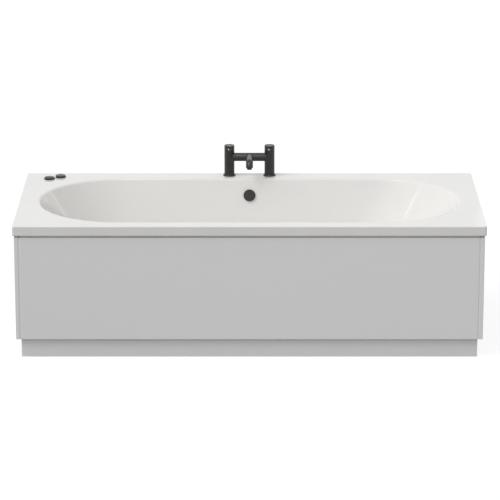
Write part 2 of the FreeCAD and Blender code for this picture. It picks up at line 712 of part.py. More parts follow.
# Steel frame
def square_tube(x0, x1, y0, y1, z0, z1, axis):
    outer = box(x0, x1, y0, y1, z0, z1)
    wall = FRAME_WALL
    inset = [0 if axis == number else wall for number in range(3)]
    inner = box(x0 + inset[0], x1 - inset[0], y0 + inset[1], y1 - inset[1], z0 + inset[2], z1 - inset[2])
    return outer.cut(inner)


def frame_rails():
    rails = []
    half = FRAME_TUBE / 2
    for y in RAIL_YS:
        rail = square_tube(-FRAME_HALF_LENGTH, FRAME_HALF_LENGTH, y - half, y + half,
                           FRAME_BOTTOM_Z, FRAME_TOP_Z, 0)
        holes = [upright_rod(FOOT_STUD_RADIUS + ASSEMBLY_GAP, x, y, FRAME_BOTTOM_Z - CUT_OVERRUN,
                             FRAME_BOTTOM_Z + CUT_OVERRUN) for x in FOOT_XS]
        rails.append(rail.cut(holes))
    return rails


def frame_cross_bars():
    half = FRAME_TUBE / 2
    places = (END_BAR_X, OUTER_BEARER_X, INNER_BEARER_X)
    bars = []
    for x in [-place for place in places] + list(places):
        bars.append(square_tube(x - half, x + half, RAIL_YS[0] + half, RAIL_YS[1] - half,
                                FRAME_BOTTOM_Z, FRAME_TOP_Z, 1))
    return bars


def frame_uprights():
    half = FRAME_TUBE / 2
    uprights = []
    for x in (-END_BAR_X, END_BAR_X):
        for y in RAIL_YS:
            uprights.append(square_tube(x - half, x + half, y - half, y + half, FRAME_TOP_Z, RIM_BATTEN_Z, 2))
    return uprights


def base_board():
    half_length = OUTER_BEARER_X + FRAME_TUBE / 2 + BASE_BOARD_OVERHANG
    board = box(-half_length, half_length, WELL_Y - BASE_BOARD_WIDTH / 2, WELL_Y + BASE_BOARD_WIDTH / 2,
                FRAME_TOP_Z, UNDERSIDE_Z)
    return board.cut(upright_rod(WASTE_CUTOUT_RADIUS, 0, WELL_Y, FRAME_TOP_Z, UNDERSIDE_Z))


def foot_places():
    return [(x, y) for y in RAIL_YS for x in FOOT_XS]


def foot_pads():
    pads = []
    for x, y in foot_places():
        pad = upright_rod(FOOT_PAD_RADIUS, x, y, 0, FOOT_PAD_HEIGHT)
        socket_z = FOOT_PAD_HEIGHT - FOOT_SOCKET_DEPTH
        hole = upright_rod(FOOT_STUD_RADIUS + THREAD_GAP, x, y, socket_z, FOOT_PAD_HEIGHT)
        pads.append(pad.cut(hole))
    return pads


def foot_studs():
    top_z = FRAME_BOTTOM_Z + FOOT_STUD_IN_TUBE
    return [upright_rod(FOOT_STUD_RADIUS, x, y, FOOT_PAD_HEIGHT - FOOT_SOCKET_DEPTH, top_z)
            for x, y in foot_places()]


def foot_nuts():
    nuts = []
    inside_z = FRAME_BOTTOM_Z + FRAME_WALL
    for x, y in foot_places():
        for z in (FRAME_BOTTOM_Z - FOOT_NUT_HEIGHT, inside_z):
            bottom, top = V(x, y, z), V(x, y, z + FOOT_NUT_HEIGHT)
            nuts.append(prism_nut(FOOT_NUT_RADIUS, FOOT_STUD_RADIUS + THREAD_GAP, bottom, top, 6))
    return nuts


# Bath filler
def tap_body():
    pieces = [rod(BAR_RADIUS, V(TAP_XS[0], TAP_Y, BAR_Z), V(TAP_XS[1], TAP_Y, BAR_Z))]
    cuts = [rod(BAR_BORE, V(TAP_XS[0], TAP_Y, BAR_Z), V(TAP_XS[1], TAP_Y, BAR_Z)),
            rod(SPOUT_BORE, V(0, TAP_Y, BAR_Z), V(0, TAP_Y - BAR_RADIUS - CUT_OVERRUN, BAR_Z))]
    tail_z = RIM_HEIGHT - TAIL_LENGTH
    relief_z = tail_z + TAIL_CONNECTION
    for x in TAP_XS:
        flange = upright_rod(TAP_FLANGE_RADIUS, x, TAP_Y, RIM_HEIGHT, RIM_HEIGHT + TAP_FLANGE_HEIGHT)
        flange = flange.makeFillet(TAP_FLANGE_ROUND, flat_edges(flange, RIM_HEIGHT + TAP_FLANGE_HEIGHT))
        pieces.append(flange)
        pieces.append(upright_rod(PILLAR_RADIUS, x, TAP_Y, RIM_HEIGHT, PILLAR_TOP_Z))
        pieces.append(upright_rod(TAIL_RADIUS, x, TAP_Y, tail_z, RIM_HEIGHT))
        pocket_z = PILLAR_TOP_Z - CARTRIDGE_DEPTH
        cuts.append(upright_rod(WATERWAY_RADIUS, x, TAP_Y, tail_z, pocket_z))
        cuts.append(upright_rod(CARTRIDGE_RADIUS + THREAD_GAP, x, TAP_Y, pocket_z, PILLAR_TOP_Z))
        groove = upright_rod(TAIL_RADIUS + CUT_OVERRUN, x, TAP_Y, relief_z, relief_z + TAIL_RELIEF_LENGTH)
        core = upright_rod(TAIL_RADIUS - TAIL_RELIEF_DEPTH, x, TAP_Y, relief_z, relief_z + TAIL_RELIEF_LENGTH)
        cuts.append(groove.cut(core))
    return joined(pieces).cut(cuts)


def tap_cartridges():
    cartridges = []
    for x in TAP_XS:
        body = upright_rod(CARTRIDGE_RADIUS, x, TAP_Y, PILLAR_TOP_Z - CARTRIDGE_DEPTH, PILLAR_TOP_Z)
        bore = upright_rod(SPINDLE_RADIUS + RUNNING_GAP, x, TAP_Y, PILLAR_TOP_Z - SPINDLE_ENTRY - RUNNING_GAP,
                           PILLAR_TOP_Z)
        cartridges.append(body.cut(bore))
    return cartridges


def tap_handle(x):
    top_z = RIM_HEIGHT + TAP_HEIGHT
    knob = upright_rod(PILLAR_RADIUS, x, TAP_Y, HANDLE_BOTTOM_Z, top_z)
    knob = knob.makeFillet(HANDLE_ROUND, flat_edges(knob, top_z))
    scoop_y = TAP_Y - PILLAR_RADIUS - SCOOP_RADIUS + SCOOP_BITE
    scoop = Part.makeSphere(SCOOP_RADIUS, V(x, scoop_y, top_z - SCOOP_DROP))
    knob = knob.cut(scoop.common(upright_rod(SCOOP_RADIUS, x, scoop_y, HANDLE_BOTTOM_Z, top_z - SCOOP_LIP)))
    spindle = upright_rod(SPINDLE_RADIUS, x, TAP_Y, PILLAR_TOP_Z - SPINDLE_ENTRY, HANDLE_BOTTOM_Z)
    return joined([knob, spindle])


def spout_path():
    tip_y = TAP_Y - SPOUT_REACH
    return [V(0, TAP_Y, BAR_Z), V(0, tip_y, BAR_Z), V(0, tip_y, SPOUT_END_Z)]


def tap_spout():
    pipe = bent_tube(SPOUT_RADIUS, SPOUT_RADIUS - SPOUT_BORE, spout_path(), SPOUT_BEND)
    bar = rod(BAR_RADIUS, V(TAP_XS[0], TAP_Y, BAR_Z), V(TAP_XS[1], TAP_Y, BAR_Z))
    tip = spout_path()[-1]
    seat = rod(AERATOR_RADIUS + THREAD_GAP, tip, tip + V(0, 0, AERATOR_ENTRY))
    return pipe.cut([bar, seat])


def spout_aerator():
    tip = spout_path()[-1]
    wall = AERATOR_RADIUS - AERATOR_BORE
    return tube(AERATOR_RADIUS, wall, tip - Z_AXIS * AERATOR_SHOW, tip + Z_AXIS * AERATOR_ENTRY)


def rim_nuts():
    z0, z1 = RIM_UNDERSIDE_Z - RIM_NUT_HEIGHT, RIM_UNDERSIDE_Z
    nuts = []
    for x in TAP_XS:
        nuts.append(prism_nut(TAP_NUT_RADIUS, TAIL_RADIUS + THREAD_GAP, V(x, TAP_Y, z0), V(x, TAP_Y, z1), 6))
    for control in (AIR_CONTROL, BUTTON):
        nuts.append(prism_nut(CONTROL_NUT_RADIUS, CONTROL_NECK_RADIUS + THREAD_GAP,
                              V(control.x, control.y, z0), V(control.x, control.y, z1), 8))
    return nuts


# Waste
def on_waste(shape):
    shape.translate(V(0, WELL_Y, 0))
    return shape


def waste_flange():
    bore = WASTE_TUBE_RADIUS - WASTE_TUBE_WALL
    bottom_z = FLOOR_Z - WASTE_TUBE_LENGTH
    ring = axial_ring(WASTE_FLANGE_RADIUS, bore, FLOOR_Z, FLOOR_Z + WASTE_FLANGE_HEIGHT)
    throat = axial_ring(WASTE_TUBE_RADIUS, bore, bottom_z, FLOOR_Z)
    hub = axial_rod(SPIDER_HUB_RADIUS, bottom_z, bottom_z + SPIDER_HEIGHT)
    pieces = [ring, throat, hub]
    for number in range(SPIDER_SPOKES):
        spoke = box(0, bore + WASTE_TUBE_WALL / 2, -SPIDER_SPOKE / 2, SPIDER_SPOKE / 2,
                    bottom_z, bottom_z + SPIDER_HEIGHT)
        spoke.rotate(V(0, 0, 0), Z_AXIS, 360 * number / SPIDER_SPOKES)
        pieces.append(spoke)
    stem_hole = axial_rod(PLUG_STEM_RADIUS + RUNNING_GAP, bottom_z, bottom_z + SPIDER_HEIGHT)
    return on_waste(joined(pieces).cut(stem_hole))


def waste_plug():
    edge_z = PLUG_Z + PLUG_THICKNESS - PLUG_CROWN
    crown_radius = (PLUG_RADIUS ** 2 + PLUG_CROWN ** 2) / (2 * PLUG_CROWN)
    disc = axial_rod(PLUG_RADIUS, PLUG_Z, PLUG_Z + PLUG_THICKNESS)
    disc = disc.common(Part.makeSphere(crown_radius, V(0, 0, edge_z + PLUG_CROWN - crown_radius)))
    stem = axial_rod(PLUG_STEM_RADIUS, PLUG_Z - PLUG_STEM_LENGTH, PLUG_Z)
    return on_waste(joined([disc, stem]))


def plug_seal():
    outer = PLUG_RADIUS - SEAL_THICKNESS
    return on_waste(axial_ring(outer, outer - SEAL_WIDTH, PLUG_Z - SEAL_THICKNESS, PLUG_Z))


def waste_body():
    outlet_z = WASTE_BOTTOM_Z - WASTE_OUTLET_LENGTH
    fitting = OVERFLOW_PIPE_RADIUS + THREAD_GAP + OVERFLOW_FITTING_WALL
    inlet = [V(0, 0, OVERFLOW_PIPE_Z), V(0, OVERFLOW_INLET_LENGTH, OVERFLOW_PIPE_Z)]
    body = joined([axial_rod(WASTE_BODY_FLANGE_RADIUS, GASKET_Z - WASTE_BODY_FLANGE_HEIGHT, GASKET_Z),
                   axial_rod(WASTE_BODY_RADIUS, WASTE_BOTTOM_Z, GASKET_Z),
                   axial_rod(WASTE_OUTLET_RADIUS, outlet_z, WASTE_BOTTOM_Z),
                   rod(fitting, inlet[0], inlet[1])])
    tube_end_z = FLOOR_Z - WASTE_TUBE_LENGTH - RUNNING_GAP
    cuts = [axial_rod(WASTE_TUBE_RADIUS + THREAD_GAP, tube_end_z, GASKET_Z),
            axial_rod(WASTE_OUTLET_RADIUS - WASTE_WALL, outlet_z, tube_end_z),
            rod(OVERFLOW_PIPE_RADIUS - OVERFLOW_PIPE_WALL, inlet[0], inlet[1]),
            rod(OVERFLOW_PIPE_RADIUS + THREAD_GAP, V(0, WASTE_BODY_RADIUS, OVERFLOW_PIPE_Z), inlet[1])]
    return on_waste(body.cut(cuts))


# Overflow
def overflow_frame():
    return wall_frame(1, 0, OVERFLOW_DEPTH)


def overflow_cover():
    cap = axial_rod(OVERFLOW_COVER_RADIUS, 0, OVERFLOW_COVER_HEIGHT)
    cap = cap.makeFillet(OVERFLOW_COVER_ROUND, flat_edges(cap, OVERFLOW_COVER_HEIGHT))
    roof_z = OVERFLOW_COVER_HEIGHT - OVERFLOW_COVER_WALL
    inner = OVERFLOW_COVER_RADIUS - OVERFLOW_COVER_WALL
    slot = box(-OVERFLOW_SLOT_WIDTH / 2, OVERFLOW_SLOT_WIDTH / 2, -OVERFLOW_COVER_RADIUS - CUT_OVERRUN, 0, 0,
               OVERFLOW_COVER_WALL)
    hub = axial_rod(OVERFLOW_HUB_RADIUS, OVERFLOW_COVER_WALL - OVERFLOW_BODY_DEPTH, roof_z)
    return placed(joined([cap.cut([axial_rod(inner, 0, roof_z), slot]), hub]), overflow_frame())


def overflow_outlet():
    centre = overflow_frame().multVec(V(0, 0, -OVERFLOW_OUTLET_DEPTH))
    return centre, centre - Z_AXIS * OVERFLOW_OUTLET_LENGTH


def overflow_body():
    pieces = [axial_rod(OVERFLOW_FLANGE_RADIUS, -GASKET_BACK - OVERFLOW_FLANGE_HEIGHT, -GASKET_BACK),
              axial_rod(OVERFLOW_BODY_RADIUS, -OVERFLOW_BODY_DEPTH, -GASKET_BACK),
              axial_rod(OVERFLOW_NECK_RADIUS, -GASKET_BACK, -OVERFLOW_NECK_WALL)]
    bore = axial_rod(OVERFLOW_NECK_RADIUS - OVERFLOW_NECK_WALL, OVERFLOW_COVER_WALL - OVERFLOW_BODY_DEPTH, 0)
    centre, mouth = overflow_outlet()
    fitting = OVERFLOW_PIPE_RADIUS + THREAD_GAP + OVERFLOW_FITTING_WALL
    outlet = rod(fitting, centre, mouth)
    body = joined([placed(piece, overflow_frame()) for piece in pieces] + [outlet])
    drop = rod(OVERFLOW_PIPE_RADIUS - OVERFLOW_PIPE_WALL, centre, mouth)
    seat = socket(OVERFLOW_PIPE_RADIUS, mouth, Z_AXIS, WATER_SOCKET_DEPTH)
    return body.cut([placed(bore, overflow_frame()), drop, seat])


def overflow_pipe():
    centre, mouth = overflow_outlet()
    corner = V(0, centre.y, OVERFLOW_PIPE_Z)
    bend = elbow(corner, Z_AXIS, -Y_AXIS, OVERFLOW_ELBOW_LEG, OVERFLOW_ELBOW_BEND, OVERFLOW_PIPE_RADIUS,
                 OVERFLOW_PIPE_WALL, OVERFLOW_FITTING_WALL, WATER_SOCKET_DEPTH)
    seat = OVERFLOW_ELBOW_LEG - WATER_SOCKET_DEPTH
    drop = tube(OVERFLOW_PIPE_RADIUS, OVERFLOW_PIPE_WALL, mouth + Z_AXIS * WATER_SOCKET_DEPTH,
                corner + Z_AXIS * seat)
    run = tube(OVERFLOW_PIPE_RADIUS, OVERFLOW_PIPE_WALL, corner - Y_AXIS * seat,
               V(0, WELL_Y + WASTE_BODY_RADIUS, OVERFLOW_PIPE_Z))
    return [drop, bend, run]


# Jets
def jet_frames():
    return [wall_frame(side, x, JET_DEPTH) for side in SIDES for x in JET_XS]


def jet_face():
    flange = axial_rod(JET_FLANGE_RADIUS, 0, JET_FLANGE_HEIGHT)
    flange = flange.makeFillet(JET_FLANGE_ROUND, flat_edges(flange, JET_FLANGE_HEIGHT))
    neck = axial_rod(JET_NECK_RADIUS, -JET_NECK_LENGTH, 0)
    seat_radius = BALL_RADIUS + RUNNING_GAP
    seat = Part.makeSphere(seat_radius, V(0, 0, -BALL_DEPTH))
    return joined([flange, neck]).cut([seat, axial_rod(seat_radius, -JET_NECK_LENGTH, -BALL_DEPTH)])


def jet_nozzle():
    ball = Part.makeSphere(BALL_RADIUS, V(0, 0, -BALL_DEPTH))
    front = BALL_FACE - BALL_DEPTH
    back = -BALL_FACE - BALL_DEPTH
    return ball.common(axial_ring(BALL_RADIUS, BALL_BORE, back, front))


def jet_body():
    fitting = WATER_PIPE_RADIUS + THREAD_GAP + WATER_FITTING_WALL
    seat_z = -GASKET_BACK
    tee_ends = [V(-JET_TEE_HALF, 0, -JET_TEE_DEPTH), V(JET_TEE_HALF, 0, -JET_TEE_DEPTH)]
    stub_root = V(0, 0, -AIR_STUB_BACK)
    stub_top = V(0, AIR_RISE - AIR_SLEEVE_LENGTH + AIR_SLEEVE_ENTRY, -AIR_STUB_BACK)
    body = joined([axial_rod(JET_BODY_FLANGE_RADIUS, seat_z - JET_BODY_FLANGE_HEIGHT, seat_z),
                   axial_rod(JET_BODY_RADIUS, -JET_TEE_DEPTH, seat_z),
                   rod(fitting, tee_ends[0], tee_ends[1]), rod(AIR_STUB_RADIUS, stub_root, stub_top)])
    neck_end = -JET_NECK_LENGTH - RUNNING_GAP
    body = body.cut([axial_rod(JET_NECK_RADIUS + THREAD_GAP, neck_end, seat_z),
                     rod(AIR_STUB_BORE, stub_root, stub_top)])
    seat_reach = math.sqrt((BALL_RADIUS + RUNNING_GAP) ** 2 - VENTURI_BORE ** 2)
    venturi = axial_rod(BALL_RADIUS, neck_end, -BALL_DEPTH - seat_reach)
    return joined([body, venturi]).cut([axial_rod(VENTURI_BORE, -JET_TEE_DEPTH, 0),
                                        rod(WATER_PIPE_RADIUS - WATER_PIPE_WALL, tee_ends[0], tee_ends[1]),
                                        socket(WATER_PIPE_RADIUS, tee_ends[0], X_AXIS, WATER_SOCKET_DEPTH),
                                        socket(WATER_PIPE_RADIUS, tee_ends[1], -X_AXIS, WATER_SOCKET_DEPTH)])


def on_jets(shape):
    return [placed(shape, frame) for frame in jet_frames()]


def rubber_gaskets():
    def wall_ring(flange, neck):
        return axial_ring(flange, neck + ASSEMBLY_GAP, -GASKET_BACK, -WALL_NORMAL)

    gaskets = on_jets(wall_ring(JET_BODY_FLANGE_RADIUS, JET_NECK_RADIUS))
    suction = wall_ring(SUCTION_FLANGE_RADIUS, SUCTION_NECK_RADIUS)
    overflow = wall_ring(OVERFLOW_FLANGE_RADIUS, OVERFLOW_NECK_RADIUS)
    gaskets.append(placed(suction, suction_frame()))
    gaskets.append(placed(overflow, overflow_frame()))
    waste_bore = WASTE_TUBE_RADIUS + ASSEMBLY_GAP
    gaskets.append(on_waste(axial_ring(WASTE_BODY_FLANGE_RADIUS, waste_bore, GASKET_Z, UNDERSIDE_Z)))
    return gaskets


# Water pipes: a rail through the jets of each wall and a header round the left end
def rail_point(side, x):
    return wall_frame(side, x, JET_DEPTH).multVec(V(0, 0, -JET_TEE_DEPTH))


def pump_centre():
    tail = suction_frame().multVec(V(0, 0, -SUCTION_TAIL_DEPTH))
    return V(HEADER_X, PUMP_Y, tail.z - PUMP_DROP)


def pump_outlet_top():
    return pump_centre() + Z_AXIS * (VOLUTE_RADIUS + PUMP_SPIGOT_RISE)


def header_tee_centre():
    return V(HEADER_X, PUMP_Y, rail_point(-1, 0).z)


def water_pipes():
    pipes = []
    jet_seat = JET_TEE_HALF - WATER_SOCKET_DEPTH
    elbow_seat = WATER_ELBOW_LEG - WATER_SOCKET_DEPTH
    tee_seat = WATER_TEE_LEG - WATER_SOCKET_DEPTH
    middle = header_tee_centre()
    for side in SIDES:
        for left, right in zip(JET_XS, JET_XS[1:]):
            pipes.append((rail_point(side, left + jet_seat), rail_point(side, right - jet_seat)))
        corner = rail_point(side, HEADER_X)
        pipes.append((corner + X_AXIS * elbow_seat, rail_point(side, JET_XS[0] - jet_seat)))
        pipes.append((corner - Y_AXIS * side * elbow_seat, middle + Y_AXIS * side * tee_seat))
    pipes.append((pump_outlet_top(), middle - Z_AXIS * tee_seat))
    return [tube(WATER_PIPE_RADIUS, WATER_PIPE_WALL, start, end) for start, end in pipes]


def water_fittings():
    sizes = (WATER_PIPE_RADIUS, WATER_PIPE_WALL, WATER_FITTING_WALL, WATER_SOCKET_DEPTH)
    run_legs = (WATER_TEE_LEG, WATER_TEE_LEG)
    fittings = [tee(header_tee_centre(), Y_AXIS, -Z_AXIS, run_legs, WATER_TEE_LEG, *sizes)]
    for side in SIDES:
        corner = rail_point(side, HEADER_X)
        fittings.append(elbow(corner, X_AXIS, Y_AXIS * -side, WATER_ELBOW_LEG, WATER_ELBOW_BEND, *sizes))
        mouth = rail_point(side, JET_XS[-1] + JET_TEE_HALF)
        plug = rod(WATER_PIPE_RADIUS, mouth - X_AXIS * WATER_SOCKET_DEPTH, mouth)
        flange_radius = WATER_PIPE_RADIUS + THREAD_GAP + WATER_FITTING_WALL
        flange = rod(flange_radius, mouth, mouth + X_AXIS * CAP_THICKNESS)
        fittings.append(joined([plug, flange]))
    return fittings


# Air pipes: a rail above each water rail, fed from the rim control
def air_point(side, x):
    return wall_frame(side, x, JET_DEPTH).multVec(V(0, AIR_RISE, -AIR_STUB_BACK))


def air_drop_corner():
    return V(AIR_CONTROL.x, AIR_CONTROL.y, air_point(1, 0).z)


def air_pipes():
    tee_seat = AIR_TEE_LEG - AIR_SOCKET_DEPTH
    elbow_seat = AIR_ELBOW_LEG - AIR_SOCKET_DEPTH
    front_corner, rear_tee = air_point(-1, AIR_CONTROL.x), air_point(1, AIR_CONTROL.x)
    pipes = []
    for side in SIDES:
        for left, right in zip(JET_XS, JET_XS[1:]):
            pipes.append((air_point(side, left + tee_seat), air_point(side, right - tee_seat)))
    pipes.append((front_corner + X_AXIS * elbow_seat, air_point(-1, JET_XS[0] - tee_seat)))
    pipes.append((rear_tee + X_AXIS * tee_seat, air_point(1, JET_XS[0] - tee_seat)))
    pipes.append((front_corner + Y_AXIS * elbow_seat, rear_tee - Y_AXIS * tee_seat))
    corner = air_drop_corner()
    pipes.append((rear_tee + Y_AXIS * tee_seat, corner - Y_AXIS * elbow_seat))
    pipes.append((corner + Z_AXIS * elbow_seat, V(corner.x, corner.y, CONTROL_BOTTOM_Z + AIR_SOCKET_DEPTH)))
    return [tube(AIR_PIPE_RADIUS, AIR_PIPE_WALL, start, end) for start, end in pipes]


def jet_air_tee(last):
    sizes = (AIR_PIPE_RADIUS + THREAD_GAP + AIR_FITTING_WALL, AIR_STUB_RADIUS + THREAD_GAP + AIR_FITTING_WALL)
    centre = V(0, AIR_RISE, -AIR_STUB_BACK)
    mouth = centre - Y_AXIS * AIR_SLEEVE_LENGTH
    ends = [centre - X_AXIS * AIR_TEE_LEG, centre + X_AXIS * AIR_TEE_LEG]
    body = joined([rod(sizes[0], ends[0], ends[1]), rod(sizes[1], centre, mouth)])
    bore_ends = [ends[0], ends[1]]
    sockets = [socket(AIR_PIPE_RADIUS, ends[0], X_AXIS, AIR_SOCKET_DEPTH),
               socket(AIR_PIPE_RADIUS, ends[1], -X_AXIS, AIR_SOCKET_DEPTH)]
    if last:
        closed = 0 if last < 0 else 1
        bore_ends[closed] = centre
        sockets.pop(closed)
    cuts = [rod(AIR_PIPE_RADIUS - AIR_PIPE_WALL, bore_ends[0], bore_ends[1]),
            rod(AIR_STUB_BORE, centre, mouth),
            rod(AIR_STUB_RADIUS + THREAD_GAP, mouth, mouth + Y_AXIS * (AIR_SLEEVE_ENTRY + THREAD_GAP))]
    return body.cut(cuts + sockets)


def air_fittings():
    sizes = (AIR_PIPE_RADIUS, AIR_PIPE_WALL, AIR_FITTING_WALL, AIR_SOCKET_DEPTH)
    fittings = []
    for side in SIDES:
        for x in JET_XS:
            last = side if x == JET_XS[-1] else 0
            fittings.append(placed(jet_air_tee(last), wall_frame(side, x, JET_DEPTH)))
    front_corner, rear_tee = air_point(-1, AIR_CONTROL.x), air_point(1, AIR_CONTROL.x)
    run_legs = (AIR_TEE_LEG, AIR_TEE_LEG)
    fittings.append(elbow(front_corner, X_AXIS, Y_AXIS, AIR_ELBOW_LEG, AIR_ELBOW_BEND, *sizes))
    fittings.append(tee(rear_tee, Y_AXIS, X_AXIS, run_legs, AIR_TEE_LEG, *sizes))
    fittings.append(elbow(air_drop_corner(), -Y_AXIS, Z_AXIS, AIR_ELBOW_LEG, AIR_ELBOW_BEND, *sizes))
    return fittings


# Suction
def suction_frame():
    return wall_frame(-1, SUCTION_X, SUCTION_DEPTH)


def suction_grille():
    dome = axial_rod(SUCTION_GRILLE_RADIUS, 0, SUCTION_GRILLE_HEIGHT)
    dome = dome.makeFillet(SUCTION_GRILLE_ROUND, flat_edges(dome, SUCTION_GRILLE_HEIGHT))
    roof_z = SUCTION_GRILLE_HEIGHT - SUCTION_GRILLE_WALL
    inner = SUCTION_GRILLE_RADIUS - SUCTION_GRILLE_WALL
    dome = dome.cut(axial_rod(inner, SUCTION_GRILLE_WALL, roof_z))
    neck = axial_rod(SUCTION_NECK_RADIUS, -SUCTION_NECK_LENGTH, SUCTION_GRILLE_WALL)
    bore = axial_rod(SUCTION_NECK_RADIUS - SUCTION_NECK_WALL, -SUCTION_NECK_LENGTH, roof_z)
    holes = [axial_rod(SUCTION_HOLE_RADIUS, 0, SUCTION_GRILLE_HEIGHT)]
    for ring in range(1, SUCTION_HOLE_RINGS + 1):
        for number in range(6 * ring):
            turn = 2 * math.pi * number / (6 * ring)
            x = SUCTION_HOLE_PITCH * ring * math.cos(turn)
            y = SUCTION_HOLE_PITCH * ring * math.sin(turn)
            holes.append(upright_rod(SUCTION_HOLE_RADIUS, x, y, roof_z, SUCTION_GRILLE_HEIGHT + CUT_OVERRUN))
    return placed(joined([dome, neck]).cut([bore] + holes), suction_frame())


def suction_body():
    fitting = HOSE_RADIUS + THREAD_GAP + HOSE_FITTING_WALL
    seat_z = -GASKET_BACK
    axis = V(0, 0, -SUCTION_TAIL_DEPTH)
    mouth = axis + X_AXIS * SUCTION_TAIL_LENGTH
    bore = HOSE_RADIUS - HOSE_WALL
    chamber = SUCTION_NECK_RADIUS - SUCTION_NECK_WALL
    body = joined([axial_rod(SUCTION_FLANGE_RADIUS, seat_z - SUCTION_FLANGE_HEIGHT, seat_z),
                   axial_rod(SUCTION_BODY_RADIUS, -SUCTION_BODY_DEPTH, seat_z), rod(fitting, axis, mouth)])
    neck_end = -SUCTION_NECK_LENGTH - RUNNING_GAP
    body = body.cut([axial_rod(SUCTION_NECK_RADIUS + THREAD_GAP, neck_end, seat_z),
                     axial_rod(chamber, -SUCTION_TAIL_DEPTH - chamber, neck_end), rod(bore, axis, mouth),
                     socket(HOSE_RADIUS, mouth, -X_AXIS, SUCTION_SOCKET_DEPTH)])
    return placed(body, suction_frame())


def suction_hose():
    tail = suction_frame().multVec(V(0, 0, -SUCTION_TAIL_DEPTH))
    centre = pump_centre()
    start = tail - X_AXIS * (SUCTION_TAIL_LENGTH - SUCTION_SOCKET_DEPTH)
    points = [start, V(centre.x, tail.y, tail.z), V(centre.x, tail.y, centre.z), pump_inlet_mouth()]
    return bent_tube(HOSE_RADIUS, HOSE_WALL, points, PUMP_DROP / 2 * HOSE_BEND_SHARE)


# Pump
def pump_inlet_mouth():
    return pump_centre() - Y_AXIS * (VOLUTE_LENGTH / 2 + PUMP_INLET_LENGTH)


def pump_rod(radius, y0, y1):
    centre = pump_centre()
    return rod(radius, centre + Y_AXIS * y0, centre + Y_AXIS * y1)


VOLUTE_BACK = VOLUTE_LENGTH / 2
MOTOR_FRONT = VOLUTE_BACK + MOTOR_FLANGE_HEIGHT
MOTOR_BACK = MOTOR_FRONT + MOTOR_LENGTH
MOTOR_OUTER = MOTOR_RADIUS + FIN_HEIGHT


def pump_volute():
    scroll = pump_rod(VOLUTE_RADIUS, -VOLUTE_BACK, VOLUTE_BACK)
    front_y = pump_centre().y - VOLUTE_BACK
    rim = [edge for edge in scroll.Edges
           if abs(edge.BoundBox.YMin - front_y) + abs(edge.BoundBox.YMax - front_y) < VOLUTE_ROUND / 1000]
    scroll = scroll.makeFillet(VOLUTE_ROUND, rim)
    centre = pump_centre()
    top = pump_outlet_top()
    inlet = rod(HOSE_RADIUS, centre, pump_inlet_mouth())
    body = joined([scroll, inlet, rod(WATER_PIPE_RADIUS, centre, top)])
    return body.cut([pump_rod(VOLUTE_RADIUS - VOLUTE_WALL, VOLUTE_WALL - VOLUTE_BACK, VOLUTE_BACK),
                     rod(HOSE_RADIUS - HOSE_WALL, centre, pump_inlet_mouth()),
                     rod(WATER_PIPE_RADIUS - WATER_PIPE_WALL, centre, top)])


def pump_motor():
    pieces = [pump_rod(MOTOR_FLANGE_RADIUS, VOLUTE_BACK, MOTOR_FRONT),
              pump_rod(MOTOR_RADIUS, MOTOR_FRONT, MOTOR_BACK)]
    centre = pump_centre()
    for number in range(MOTOR_FINS):
        fin = box(-FIN_THICKNESS / 2, FIN_THICKNESS / 2, MOTOR_FRONT, MOTOR_BACK, 0, MOTOR_OUTER)
        fin.rotate(V(0, 0, 0), Y_AXIS, 360 * number / MOTOR_FINS)
        fin.translate(centre)
        pieces.append(fin)
    return joined(pieces).cut(pump_rod(SHAFT_RADIUS + RUNNING_GAP, VOLUTE_BACK, MOTOR_BACK))


def pump_fan_cover():
    end = MOTOR_BACK + FAN_COVER_LENGTH
    cover = pump_rod(MOTOR_OUTER, MOTOR_BACK, end)
    cuts = [pump_rod(MOTOR_OUTER - FAN_COVER_WALL, MOTOR_BACK, end - FAN_COVER_WALL)]
    for number in range(FAN_VENTS):
        turn = 2 * math.pi * number / FAN_VENTS
        offset = V(math.cos(turn), 0, math.sin(turn)) * (MOTOR_OUTER / 2)
        vent = pump_rod(FAN_VENT_RADIUS, MOTOR_BACK, end + CUT_OVERRUN)
        vent.translate(offset)
        cuts.append(vent)
    return cover.cut(cuts)


def radial_plates(count, inner, outer, thickness, y0, y1):
    plates = []
    for number in range(count):
        plate = box(-thickness / 2, thickness / 2, y0, y1, inner, outer)
        plate.rotate(V(0, 0, 0), Y_AXIS, 360 * number / count)
        plate.translate(pump_centre())
        plates.append(plate)
    return plates


def pump_rotor():
    disc_back = VOLUTE_BACK - IMPELLER_BACK_GAP
    disc_front = disc_back - IMPELLER_DISC
    vane_front = disc_front - VANE_HEIGHT
    fan_front = MOTOR_BACK + FAN_GAP
    fan_back = fan_front + FAN_DISC
    blade_back = fan_back + BLADE_HEIGHT
    pieces = [pump_rod(SHAFT_RADIUS, vane_front, blade_back),
              pump_rod(IMPELLER_RADIUS, disc_front, disc_back),
              pump_rod(ROTOR_HUB_RADIUS, vane_front, disc_front),
              pump_rod(FAN_RADIUS, fan_front, fan_back),
              pump_rod(ROTOR_HUB_RADIUS, fan_back, blade_back)]
    pieces += radial_plates(VANES, SHAFT_RADIUS, IMPELLER_RADIUS, VANE_THICKNESS, vane_front, disc_front)
    pieces += radial_plates(BLADES, SHAFT_RADIUS, FAN_RADIUS, VANE_THICKNESS, fan_back, blade_back)
    return joined(pieces)


def tray_top_z():
    return pump_centre().z - TRAY_DROP


